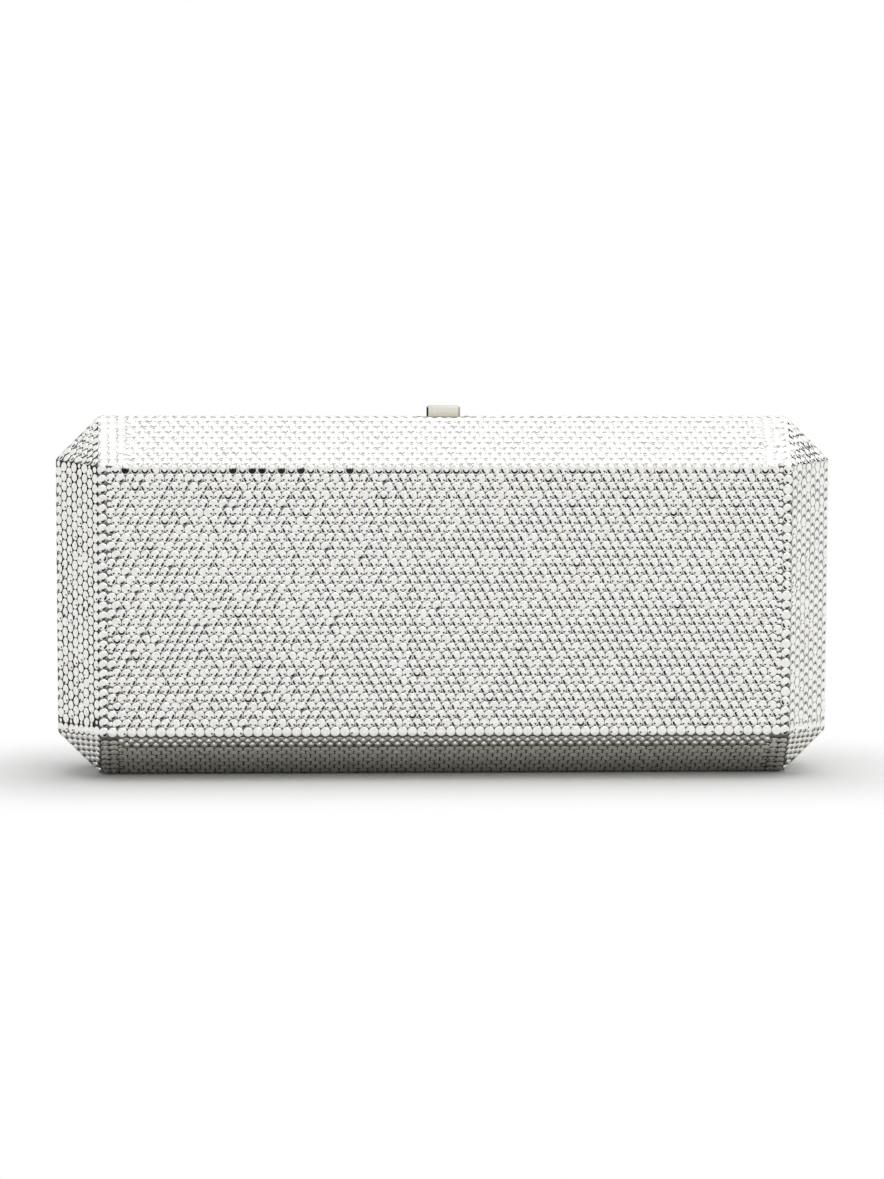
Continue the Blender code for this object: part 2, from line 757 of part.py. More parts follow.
def catch_spring(mat, parent, origin):
    """The flat spring on the front frame, whose nose hooks behind the housing's lintel."""
    top = RIM_TOP - CATCH_TOP_INSET
    low = top - CATCH_WALL
    strip_low = (-CATCH_HALF_WIDTH, -CATCH_SEAM_GAP - CATCH_STRIP_DEPTH, low)
    strip_high = (BLOCK_START + BLOCK_LENGTH, -CATCH_SEAM_GAP, top)
    spring = box("catch_spring", strip_low, strip_high, mat, parent, origin)
    nose_y = HOUSING_FRONT_Y + HOUSING_WALL + FIT_GAP
    arm_low = (-CATCH_HALF_WIDTH, CATCH_MIDDLE_Y, low)
    arm_high = (CATCH_HALF_WIDTH, nose_y + NOSE_DEPTH, top)
    join(spring, box("catch_spring_arm", arm_low, arm_high))
    nose_low = (-CATCH_HALF_WIDTH, nose_y, low)
    nose_high = (CATCH_HALF_WIDTH, nose_y + NOSE_DEPTH, RIM_TOP - LINTEL_INSET + NOSE_BITE)
    join(spring, box("catch_spring_nose", nose_low, nose_high))
    rivet_holes(spring, low, top)


def rivet_holes(piece, low, high):
    """The two rivet holes through a piece between two heights."""
    for end, x in rivet_places().items():
        name = "%s_%s_hole_cutter" % (piece.name, end)
        radius = RIVET_SHANK_RADIUS + FIT_GAP
        cut(piece, rod_cutter(name, radius, x, CATCH_MIDDLE_Y, low - CUT_OVERRUN, high + CUT_OVERRUN))


def rivet_places():
    """Where the catch spring's two rivets stand, along X."""
    middle = BLOCK_START + BLOCK_LENGTH / 2
    return {"left": middle - RIVET_PITCH / 2, "right": middle + RIVET_PITCH / 2}


def catch_block(mat, parent, origin):
    """The block on the front frame that carries the catch spring."""
    top = RIM_TOP - UNDER_FRAME
    bottom = RIM_TOP - CATCH_TOP_INSET + FIT_GAP
    low = (BLOCK_START, CATCH_MIDDLE_Y - BLOCK_DEPTH / 2, bottom)
    high = (BLOCK_START + BLOCK_LENGTH, CATCH_MIDDLE_Y + BLOCK_DEPTH / 2, top)
    block = box("catch_block", low, high, mat, parent, origin)
    rivet_holes(block, bottom, top)


def catch_rivets(mat, parent):
    """The two rivets through the catch spring and its block."""
    seat = RIM_TOP - CATCH_TOP_INSET - CATCH_WALL - FIT_GAP
    length = RIM_TOP - UNDER_FRAME - seat
    for end, x in rivet_places().items():
        fastener(
            "catch_rivet_" + end,
            RIVET_HEAD_RADIUS,
            RIVET_HEAD_HEIGHT,
            RIVET_SHANK_RADIUS,
            length,
            (x, CATCH_MIDDLE_Y, seat),
            mat,
            parent,
        )


def clear_hinge(side, shell, name):
    """Take the shell's flange away where the hinge leaf lies."""
    low = STONE_HEIGHT + FRAME_WALL + FIT_GAP / 2
    high = STONE_HEIGHT + LINING_INSET
    reach = CHANNEL_HALF_LENGTH
    cut(shell, flange_cutter(name + "_hinge_cutter", side, -reach, reach, low, high))


def clear_clasp(side, pieces, left, right, drop):
    """Take the flanges of the shell and the lining away where the clasp lies."""
    low = RIM_TOP - drop
    high = RIM_TOP - FRAME_WALL - FIT_GAP / 2
    for piece in pieces:
        name = piece.name + "_clasp_room_cutter"
        cut(piece, flange_cutter(name, side, left - FIT_GAP, right + FIT_GAP, low, high))


def build():
    """Make every piece of the bag."""
    clear_scene()
    stones = stone_material()
    plated = plated_material()
    sheet = shell_material()
    leather = lining_material()
    steel = steel_material()
    hinge_place = (0, 0, AXIS_Z)
    clasp_place = (0, CLASP_CENTRE_Y, RIM_TOP)
    lid = empty("lid_hinge_axis", hinge_place)
    slider = empty("clasp_slide_axis", clasp_place)

    made = {}
    for side, half, parent, origin in ((FRONT, "front", lid, hinge_place), (REAR, "rear", None, (0, 0, 0))):
        made[half + "_shell"] = half_shell(side, half + "_shell", sheet, parent, origin)
        made[half + "_frame"] = half_frame(side, half + "_frame", plated, parent, origin)
        made[half + "_lining"] = half_lining(side, half + "_lining", leather, parent, origin)
        band_stones(side, half + "_band_stones", stones, parent, origin)
        facet_stones(side, half, stones, parent, origin)
        hinge_leaf(side, half + "_hinge_leaf", plated, parent, hinge_place)
        clear_hinge(side, made[half + "_shell"], half + "_shell")
    hinge_pin(steel)

    thumb_tab(plated, slider, clasp_place)
    slide_bar(steel, slider, clasp_place)
    clasp_housing(steel)
    housing_screws(steel)
    return_spring(steel)
    catch_spring(steel, lid, hinge_place)
    catch_block(plated, lid, hinge_place)
    catch_rivets(steel, lid)

    cut(made["rear_frame"], stem_slot_cutter())
    for end, x in screw_places().items():
        name = "rear_frame_%s_hole_cutter" % end
        radius = SCREW_SHANK_RADIUS + FIT_GAP
        low = RIM_TOP - FRAME_WALL - CUT_OVERRUN
        cut(made["rear_frame"], rod_cutter(name, radius, x, CLASP_CENTRE_Y, low, RIM_TOP + CUT_OVERRUN))
    ear_left = HOUSING_LEFT - EAR_LENGTH
    ear_right = HOUSING_END + EAR_LENGTH
    drop = UNDER_FRAME + HOUSING_HEIGHT + FIT_GAP
    clear_clasp(REAR, (made["rear_shell"], made["rear_lining"]), ear_left, ear_right, drop)
    block_end = BLOCK_START + BLOCK_LENGTH
    clear_clasp(FRONT, (made["front_shell"], made["front_lining"]), BLOCK_START, block_end, drop)


build()
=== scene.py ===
"""Looks of an evening clutch bag.

It has two half cases paved with round crystals, plated frames and a leather lining.
X runs along the width, Y through the depth (the front is -Y) and Z up. All lengths are in metres.
"""
import logging
import math
from dataclasses import dataclass, field
from enum import Enum
from typing import Callable, Iterable, Sequence

import bpy
import numpy as np
from mathutils import Matrix, Vector


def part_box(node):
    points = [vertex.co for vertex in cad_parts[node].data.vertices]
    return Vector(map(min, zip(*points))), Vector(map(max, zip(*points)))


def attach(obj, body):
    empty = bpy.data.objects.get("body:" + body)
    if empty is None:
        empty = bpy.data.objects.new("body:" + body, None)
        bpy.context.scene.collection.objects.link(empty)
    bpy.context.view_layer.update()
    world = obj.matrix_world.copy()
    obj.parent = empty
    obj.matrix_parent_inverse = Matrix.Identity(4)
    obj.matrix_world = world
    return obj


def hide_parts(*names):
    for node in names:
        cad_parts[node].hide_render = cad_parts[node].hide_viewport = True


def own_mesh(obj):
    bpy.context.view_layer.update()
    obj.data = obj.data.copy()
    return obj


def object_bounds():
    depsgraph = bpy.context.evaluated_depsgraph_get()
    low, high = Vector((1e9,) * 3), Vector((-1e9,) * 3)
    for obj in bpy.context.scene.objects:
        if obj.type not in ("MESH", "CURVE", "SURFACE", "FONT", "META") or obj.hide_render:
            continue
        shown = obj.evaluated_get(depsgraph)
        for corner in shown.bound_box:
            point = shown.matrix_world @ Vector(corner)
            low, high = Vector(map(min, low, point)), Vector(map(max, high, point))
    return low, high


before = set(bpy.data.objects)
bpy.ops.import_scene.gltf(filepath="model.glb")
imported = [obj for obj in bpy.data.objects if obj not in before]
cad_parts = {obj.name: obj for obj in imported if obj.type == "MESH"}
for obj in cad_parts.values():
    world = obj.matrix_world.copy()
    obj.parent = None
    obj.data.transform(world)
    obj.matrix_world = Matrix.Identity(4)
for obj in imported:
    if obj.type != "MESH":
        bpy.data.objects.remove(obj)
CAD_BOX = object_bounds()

logging.basicConfig(level=logging.INFO, format="%(name)s: %(message)s")
LOG = logging.getLogger("clutch_bag")

Colour = tuple[float, float, float]
Span = tuple[float, float]

# Lengths and sums that count as nothing
TOLERANCE = 1e-6
LEAST = 1e-9

# Cosines of the angles between two directions
SAME_PLANE = 0.9999
SAME_WAY = 0.99
NEARLY_ALONG = 0.95
HALFWAY = 0.5
ASKEW = 0.3
SLIGHT = 0.1

# The angle up to which faces count as one, in degrees
FLAT_ANGLE = 0.5

# The decimals to which places, in metres, and angles, in radians, are told apart
PLACE_DIGITS = 6
ANGLE_DIGITS = 3


class Half(Enum):
    """The two half cases, by the first word of their nodes."""

    FRONT = "front"
    REAR = "rear"

    @property
    def body(self) -> str:
        """The body that this half's pieces ride on."""
        return self.value + "_half"


class Body(Enum):
    """The bodies that pieces outside the half cases ride on."""

    REAR = "rear_half"
    FRONT = "front_half"
    SLIDER = "slider"


class Sparkle(Enum):
    """Where a stone's crown is painted dark, as painted dark reflections and painted shade; a
    strength below 0 paints a highlight.

    Each kind has one strength for each crown facet, anticlockwise from the left.
    """

    PLAIN = (0, 0, 0, 0, 0, 0, 0, 0, 0, 0, 0, 0)
    PAIR = (0, 1, 0, 0, 0, 1, 0, 0, 0, 0, 0, 0)
    LEFT_DOT = (0, 1, 0, 0, 0, 0, 0, 0, 0, 0, 0, 0)
    RIGHT_DOT = (0, 0, 0, 0, 0, 1, 0, 0, 0, 0, 0, 0)
    LEFT_DASH = (0.9, 1, 1, 0, 0, 1, 0, 0, 0, 0, 0, 0)
    LONG_DASH = (1, 1, 1, 0.4, 0, 0, 0, 0, 0, 0, 0, 0)
    RIGHT_DASH = (0, 1, 0, 0, 1, 1, 0.9, 0, 0, 0, 0, 0)
    CUP = (0.6, 1, 1, 1, 1, 1, 0.6, 0, 0, 0, 0, 0)
    SMALL_CUP = (0, 1, 1, 1, 1, 1, 0, 0, 0, 0, 0, 0)
    ARROW = (0, 0, 0.3, 1, 1, 0.8, 0.1, 0, 0, 0, 0, 0)
    LOW_DASH = (0, 0, 1, 1, 0, 0, 0, 0, 0, 0, 0, 0)
    BLACK = (1, 1, 1, 1, 1, 1, 1, 0.8, 0, 0, 0, 0.8)
    SMILE = (0, 0.3, 0.9, 1, 0.9, 0.3, 0, 0, 0, 0, 0, 0)
    SIDES = (0.8, 0.5, 0, 0, 0, 0.5, 0.8, 0.5, 0, 0, 0, 0.5)
    DROP = (0, 0, 0.2, 1, 0.2, 0, 0, 0, 0, 0, 0, 0)
    GLINT = (0.6, 0.5, 0.1, 0.0, 0.1, 0.5, 0.6, 0.6, 0.0, -0.5, 0.0, 0.6)
    BEAD = (0.45, 0.75, 0.9, 0.95, 0.9, 0.75, 0.45, 0, -0.04, -0.04, -0.04, 0)
    SPOT = (0, 0, 0.5, 1, 0.45, 0, 0, 0, 0, 0, 0, 0)


# The share of its painted darkness or highlight that a glint carries out to the crown's outermost
# facets
EDGE_REACH = {
    Sparkle.ARROW: 0.6,
    Sparkle.DROP: 1.0,
    Sparkle.GLINT: 1.0,
    Sparkle.BEAD: 1.0,
    Sparkle.SPOT: 1.0,
}

# The painted darkness that a glint gives the table
TABLE_REACH = {Sparkle.BLACK: 1.0, Sparkle.GLINT: 0.55, Sparkle.SMILE: 0.45}


class Cut(Enum):
    """How high a stone's crown stands."""

    FLAT = "flat"
    LOW = "low"
    HIGH = "high"


def deselect_all() -> None:
    """Leave edit mode and deselect every object."""
    if bpy.context.mode != "OBJECT":
        bpy.ops.object.mode_set(mode="OBJECT")
    bpy.ops.object.select_all(action="DESELECT")


def pick(active: bpy.types.Object, *others: bpy.types.Object) -> None:
    """Select only the given objects.

    Args:
        active: The object that becomes the active one.
        others: Further objects to select.
    """
    deselect_all()
    for obj in (active, *others):
        obj.select_set(True)
    bpy.context.view_layer.objects.active = active


def edit_faces(obj: bpy.types.Object, test: Callable[[bpy.types.MeshPolygon], bool]) -> None:
    """Enter edit mode with the faces that pass a test selected, and nothing else.

    Args:
        obj: The mesh object to edit.
        test: Says for a face whether it is selected.
    """
    pick(obj)
    bpy.ops.object.mode_set(mode="EDIT")
    bpy.ops.mesh.select_mode(type="FACE")
    bpy.ops.mesh.select_all(action="DESELECT")
    bpy.ops.object.mode_set(mode="OBJECT")
    for polygon in obj.data.polygons:
        polygon.select = test(polygon)
    bpy.ops.object.mode_set(mode="EDIT")


def apply_modifier(obj: bpy.types.Object, kind: str, **settings: object) -> None:
    """Add a modifier to an object and apply it.

    Args:
        obj: The object to change.
        kind: The modifier's type, such as "BEVEL".
        settings: Values for the modifier's properties.
    """
    pick(obj)
    modifier = obj.modifiers.new(kind.lower(), kind)
    for name, value in settings.items():
        setattr(modifier, name, value)
    bpy.ops.object.modifier_apply(modifier=modifier.name)


def copy_of(obj: bpy.types.Object, name: str) -> bpy.types.Object:
    """A copy of an object with a mesh of its own.

    Args:
        obj: The object to copy.
        name: The copy's name.

    Returns:
        The copy, free of its parent and linked to the scene.
    """
    twin = obj.copy()
    twin.data = obj.data.copy()
    twin.name = twin.data.name = name
    twin.parent = None
    for key in list(twin.keys()):
        del twin[key]
    bpy.context.scene.collection.objects.link(twin)
    return twin


def merged_copy(node: str, name: str) -> bpy.types.Object:
    """A copy of a CAD node with its loose triangles merged into whole faces.

    Args:
        node: The CAD node's name.
        name: The copy's name.

    Returns:
        The copy.
    """
    twin = copy_of(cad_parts[node], name)
    twin.hide_render = twin.hide_viewport = False
    pick(twin)
    bpy.ops.object.mode_set(mode="EDIT")
    bpy.ops.mesh.select_all(action="SELECT")
    bpy.ops.mesh.remove_doubles(threshold=TOLERANCE)
    bpy.ops.mesh.dissolve_limited(angle_limit=math.radians(FLAT_ANGLE))
    bpy.ops.object.mode_set(mode="OBJECT")
    twin.data.shade_flat()
    return twin


def break_edges(part: bpy.types.Object, width: float, steps: int, sharp: float) -> None:
    """Round a part's sharp edges.

    Args:
        part: The part.
        width: How much of each edge is broken.
        steps: How many facets round each edge.
        sharp: The angle from which an edge is sharp, in degrees.
    """
    apply_modifier(
        part,
        "BEVEL",
        width=width,
        segments=steps,
        limit_method="ANGLE",
        angle_limit=math.radians(sharp),
        use_clamp_overlap=True,
    )


def smooth(part: bpy.types.Object, sharp: float) -> None:
    """Shade a part smoothly, except at the edges that are sharper than an angle in degrees."""
    pick(part)
    bpy.ops.object.shade_smooth_by_angle(angle=math.radians(sharp))


def finish_piece(
    piece: bpy.types.Object, material: bpy.types.Material, slot: str, body: str, *nodes: str
) -> bpy.types.Object:
    """Dress a piece, attach it to its body and hide the CAD nodes that it stands for.

    Args:
        piece: The finished object, at the origin.
        material: Its material.
        slot: The record's material slot; not used.
        body: The body that it rides on.
        nodes: The CAD nodes that it stands for.

    Returns:
        The same object.
    """
    piece.data.materials.clear()
    piece.data.materials.append(material)
    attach(piece, body)
    if nodes:
        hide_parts(*nodes)
    LOG.info("%s: %d faces on %s", piece.name, len(piece.data.polygons), body)
    return piece


@dataclass(frozen=True)
class Grain:
    """A noise pattern.

    Attributes:
        scale: Its repeats per metre, before the stretch.
        detail: The number of finer layers.
        stretch: How much finer it is along X, Y and Z.
    """

    scale: float = 1
    detail: float = 4
    stretch: tuple[float, float, float] = (1, 1, 1)


class NodeSheet:
    """The nodes of one material, with short calls to add and join them."""

    def __init__(self, name: str) -> None:
        """Start a material with a Principled shader.

        Args:
            name: The material's name.
        """
        self.material = bpy.data.materials.new(name)
        self.material.use_nodes = True
        self.tree = self.material.node_tree
        self.shader = self.tree.nodes["Principled BSDF"]
        self.output = self.tree.nodes["Material Output"]

    def add(self, kind: str, **settings: object) -> bpy.types.Node:
        """Add a node and set its properties.

        Args:
            kind: The node's type, without its ShaderNode prefix.
            settings: Values for the node's properties.

        Returns:
            The new node.
        """
        node = self.tree.nodes.new("ShaderNode" + kind)
        for name, value in settings.items():
            setattr(node, name, value)
        return node

    def join(self, source: bpy.types.NodeSocket, target: bpy.types.NodeSocket) -> None:
        """Link one socket to another."""
        self.tree.links.new(source, target)

    def place(self, stretch: Sequence[float] = (1, 1, 1)) -> bpy.types.NodeSocket:
        """Object coordinates, stretched along the axes.

        Args:
            stretch: The scale along X, Y and Z.

        Returns:
            The socket that gives the coordinates.
        """
        coordinates = self.add("TexCoord")
        mapping = self.add("Mapping")
        mapping.inputs["Scale"].default_value = tuple(stretch)
        self.join(coordinates.outputs["Object"], mapping.inputs["Vector"])
        return mapping.outputs["Vector"]

    def noise(self, grain: Grain) -> bpy.types.NodeSocket:
        """A noise pattern over the piece.

        Args:
            grain: The pattern.

        Returns:
            The socket that gives the pattern's value.
        """
        node = self.add("TexNoise")
        node.inputs["Scale"].default_value = grain.scale
        node.inputs["Detail"].default_value = grain.detail
        self.join(self.place(grain.stretch), node.inputs["Vector"])
        return node.outputs["Fac"]

    def spread(
        self, value: bpy.types.NodeSocket, low: float, high: float, start: float = 0, end: float = 1
    ) -> bpy.types.NodeSocket:
        """Map a value from one range to another.

        Args:
            value: The socket to read.
            low: The result at the start of the range.
            high: The result at its end.
            start: The start of the range that is read.
            end: The end of the range that is read.

        Returns:
            The socket that gives the mapped value.
        """
        node = self.add("MapRange")
        ends = {"From Min": start, "From Max": end, "To Min": low, "To Max": high}
        for socket, number in ends.items():
            node.inputs[socket].default_value = number
        self.join(value, node.inputs["Value"])
        return node.outputs["Result"]

    def tint(self, value: bpy.types.NodeSocket, low: Colour, high: Colour) -> bpy.types.NodeSocket:
        """Blend between two colours by a value.

        Args:
            value: The socket that blends them, from 0 to 1.
            low: The colour at 0.
            high: The colour at 1.

        Returns:
            The socket that gives the colour.
        """
        node = self.add("Mix", data_type="RGBA")
        node.inputs["A"].default_value = (*low, 1)
        node.inputs["B"].default_value = (*high, 1)
        self.join(value, node.inputs["Factor"])
        return node.outputs["Result"]

    def times(
        self, colour: bpy.types.NodeSocket, value: bpy.types.NodeSocket
    ) -> bpy.types.NodeSocket:
        """Darken a colour by a value.

        Args:
            colour: The socket that gives the colour.
            value: The socket that gives the share of it that is kept.

        Returns:
            The socket that gives the darkened colour.
        """
        node = self.add("VectorMath", operation="SCALE")
        self.join(colour, node.inputs[0])
        self.join(value, node.inputs["Scale"])
        return node.outputs[0]

    def attribute(self, name: str) -> bpy.types.NodeSocket:
        """The value of a piece's own attribute."""
        return self.add("Attribute", attribute_name=name).outputs["Fac"]

    def bump(self, height: bpy.types.NodeSocket, strength: float, distance: float) -> None:
        """Raise the surface by a pattern.

        Args:
            height: The socket that gives the pattern.
            strength: How far the bump tilts the surface.
            distance: The height of the pattern, in metres.
        """
        node = self.add("Bump")
        node.inputs["Strength"].default_value = strength
        node.inputs["Distance"].default_value = distance
        self.join(height, node.inputs["Height"])
        self.join(node.outputs["Normal"], self.shader.inputs["Normal"])

    def constants(self, **values: object) -> None:
        """Set the shader's own sockets, named with underscores for spaces."""
        for name, value in values.items():
            self.shader.inputs[name.replace("_", " ")].default_value = value


def seen_rays(tree: bpy.types.NodeTree) -> bpy.types.NodeSocket:
    """A value that is 1 for what the camera, metal and glass see, and 0 for light.

    Args:
        tree: The nodes to add it to.

    Returns:
        The socket that gives the value.
    """
    path = tree.nodes.new("ShaderNodeLightPath")
    value = path.outputs["Is Camera Ray"]
    for kind in ("Is Glossy Ray", "Is Transmission Ray"):
        either = tree.nodes.new("ShaderNodeMath")
        either.operation = "MAXIMUM"
        tree.links.new(value, either.inputs[0])
        tree.links.new(path.outputs[kind], either.inputs[1])
        value = either.outputs[0]
    return value


@dataclass(frozen=True)
class CrystalFinish:
    """Round crystals backed with silver: bright facets, painted dark reflections and a clear
    polished surface.

    Attributes:
        bright: The colour of most stones.
        blush: The colour of the warmest ones.
        cloud: Where the silver backing is a little darker or lighter.
        cloud_light: The share of the light that it keeps there.
        cloud_span: The stretch of the cloud's values that is read.
        haze: Where the polish is a little better or worse.
        roughness: The roughness at its best and at its worst.
        metallic: How much the stones mirror, as metal does.
        coat: How much clear coat lies over them.
        coat_roughness: How rough the coat is.
        bending: How strongly the stones bend light.
    """

    bright: Colour = (0.95, 0.945, 0.915)
    blush: Colour = (0.92, 0.895, 0.79)
    cloud: Grain = Grain(1400, 3)
    cloud_light: Span = (0.9, 1.04)
    cloud_span: Span = (0.3, 0.7)
    haze: Grain = Grain(900, 2)
    roughness: Span = (0.10, 0.22)
    metallic: float = 0.82
    coat: float = 0.15
    coat_roughness: float = 0.04
    bending: float = 1.6

    def build(self) -> bpy.types.Material:
        """Make the material, which reads each facet's painted light and shade and each stone's
        warmth.

        Returns:
            The material.
        """
        sheet = NodeSheet("foil_backed_crystal")
        colour = sheet.tint(sheet.attribute("stone_tone"), self.bright, self.blush)
        colour = sheet.times(colour, sheet.attribute("facet_light"))
        cloud = sheet.spread(sheet.noise(self.cloud), *self.cloud_light, *self.cloud_span)
        sheet.join(sheet.times(colour, cloud), sheet.shader.inputs["Base Color"])
        polish = sheet.spread(sheet.noise(self.haze), *self.roughness)
        sheet.join(polish, sheet.shader.inputs["Roughness"])
        sheet.constants(
            Metallic=self.metallic,
            Coat_Weight=self.coat,
            Coat_Roughness=self.coat_roughness,
            IOR=self.bending,
        )
        return sheet.material


@dataclass(frozen=True)
class GrainedFinish:
    """A finish whose colour, polish and relief each follow a pattern.

    Attributes:
        name: The material's name.
        low: The colour where the stain is weakest.
        high: The colour where it is strongest.
        roughness: The roughness where the polish pattern is weakest and where it is strongest.
        bump: How far the relief tilts the surface, and its height in metres.
        stain: The pattern of the colour.
        polish: The pattern of the roughness.
        polish_span: The stretch of that pattern's values that is read.
        relief: The pattern of the surface.
        metallic: How much the surface is metal.
        anisotropic: How much its lines draw out what it mirrors.
    """

    name: str
    low: Colour
    high: Colour
    roughness: Span
    bump: Span
    stain: Grain = Grain()
    polish: Grain = Grain()
    polish_span: Span = (0, 1)
    relief: Grain = Grain()
    metallic: float = 1.0
    anisotropic: float = 0.0

    def build(self) -> bpy.types.Material:
        """Make the material.

        Returns:
            The material.
        """
        sheet = NodeSheet(self.name)
        sheet.join(self.colour(sheet), sheet.shader.inputs["Base Color"])
        polish = sheet.spread(sheet.noise(self.polish), *self.roughness, *self.polish_span)
        sheet.join(polish, sheet.shader.inputs["Roughness"])
        sheet.bump(self.height(sheet), *self.bump)
        sheet.constants(Metallic=self.metallic, Anisotropic=self.anisotropic)
        return sheet.material

    def colour(self, sheet: NodeSheet) -> bpy.types.NodeSocket:
        """The colour of the surface: the stain, between its two colours."""
        return sheet.tint(sheet.noise(self.stain), self.low, self.high)

    def height(self, sheet: NodeSheet) -> bpy.types.NodeSocket:
        """The height of the surface."""
        return sheet.noise(self.relief)


class BedFinish(GrainedFinish):
    """The bed of adhesive over plated metal that the stones are set in."""

    def colour(self, sheet: NodeSheet) -> bpy.types.NodeSocket:
        """The stain, darkened by each bed's painted light and shade."""
        return sheet.times(super().colour(sheet), sheet.attribute("painted_bed_light"))


@dataclass(frozen=True)
class TabFinish(GrainedFinish):
    """Warm satin plating, with painted light and shade on its faces and a painted shadow towards
    its foot.

    Attributes:
        foot: The heights between which the painted shadow sets in.
        foot_light: The share of the light that is left at the lower one.
    """

    foot: Span = (0.0878, 0.0881)
    foot_light: float = 0.5

    def colour(self, sheet: NodeSheet) -> bpy.types.NodeSocket:
        """The stain, darkened by each face's painted light and by a painted shadow towards the
        foot.

        Args:
            sheet: The material's nodes.

        Returns:
            The socket that gives the colour.
        """
        colour = sheet.times(super().colour(sheet), sheet.attribute("facet_light"))
        heights = sheet.add("SeparateXYZ")
        sheet.join(sheet.place(), heights.inputs[0])
        # Painted shadow, darker towards the foot where the tab meets the frame.
        light = sheet.spread(heights.outputs["Z"], self.foot_light, 1, *self.foot)
        return sheet.times(colour, light)


@dataclass(frozen=True)
class LeatherFinish(GrainedFinish):
    """Metallic leather with a fine pebbled grain.

    Attributes:
        pebbles: The number of pebbles in a metre.
        pebble_edge: Where the pebbles end, as a share of their spacing.
    """

    pebbles: float = 1300
    pebble_edge: float = 0.7

    def colour(self, sheet: NodeSheet) -> bpy.types.NodeSocket:
        """The colour, which follows the pebbles."""
        return sheet.tint(self.height(sheet), self.low, self.high)

    def height(self, sheet: NodeSheet) -> bpy.types.NodeSocket:
        """The height of the pebbles.

        Args:
            sheet: The material's nodes.

        Returns:
            The socket that gives the height.
        """
        cells = sheet.add("TexVoronoi", feature="SMOOTH_F1")
        cells.inputs["Scale"].default_value = self.pebbles
        sheet.join(sheet.place(), cells.inputs["Vector"])
        return sheet.spread(cells.outputs["Distance"], 1, 0, 0, self.pebble_edge)


ROLLING_GRAIN = Grain(stretch=(120, 2500, 2500))
SMUDGES = Grain(120, 3)
TAB_SMUDGES = Grain(160, 3)
BRUSH_LINES = Grain(stretch=(300, 6000, 6000))
BED_PATCHES = Grain(700, 5)

FINISHES = {
    "crystal": CrystalFinish(),
    "setting": BedFinish(
        "setting_bed",
        low=(0.70, 0.70, 0.675),
        high=(0.98, 0.98, 0.95),
        roughness=(0.35, 0.6),
        bump=(0.3, 0.00005),
        stain=BED_PATCHES,
        polish=BED_PATCHES,
        relief=Grain(2500, 3),
        metallic=0.3,
    ),
    "sheet": GrainedFinish(
        "pressed_sheet",
        low=(0.60, 0.53, 0.36),
        high=(0.72, 0.65, 0.47),
        roughness=(0.24, 0.42),
        bump=(0.08, 0.00002),
        stain=Grain(60, 4),
        polish=ROLLING_GRAIN,
        relief=ROLLING_GRAIN,
    ),
    "plating": GrainedFinish(
        "bright_plating",
        low=(0.79, 0.765, 0.70),
        high=(0.85, 0.83, 0.77),
        roughness=(0.07, 0.17),
        bump=(0.03, 0.00002),
        stain=SMUDGES,
        polish=SMUDGES,
        polish_span=(0.3, 0.7),
        relief=Grain(detail=3, stretch=(60, 900, 900)),
        anisotropic=0.2,
    ),
    "tab": TabFinish(
        "satin_plating",
        low=(0.80, 0.78, 0.695),
        high=(0.83, 0.81, 0.725),
        roughness=(0.4, 0.46),
        bump=(0.01, 0.00001),
        stain=TAB_SMUDGES,
        polish=TAB_SMUDGES,
        polish_span=(0.3, 0.7),
        relief=Grain(detail=2, stretch=(300, 4000, 4000)),
        metallic=0.8,
    ),
    "leather": LeatherFinish(
        "silver_leather",
        low=(0.40, 0.40, 0.385),
        high=(0.66, 0.66, 0.64),
        roughness=(0.34, 0.5),
        bump=(0.35, 0.0001),
        polish=Grain(200, 4),
        metallic=0.55,
    ),
    "steel": GrainedFinish(
        "brushed_steel",
        low=(0.44, 0.44, 0.45),
        high=(0.60, 0.60, 0.61),
        roughness=(0.22, 0.42),
        bump=(0.1, 0.00002),
        stain=BRUSH_LINES,
        polish=BRUSH_LINES,
        relief=BRUSH_LINES,
    ),
}


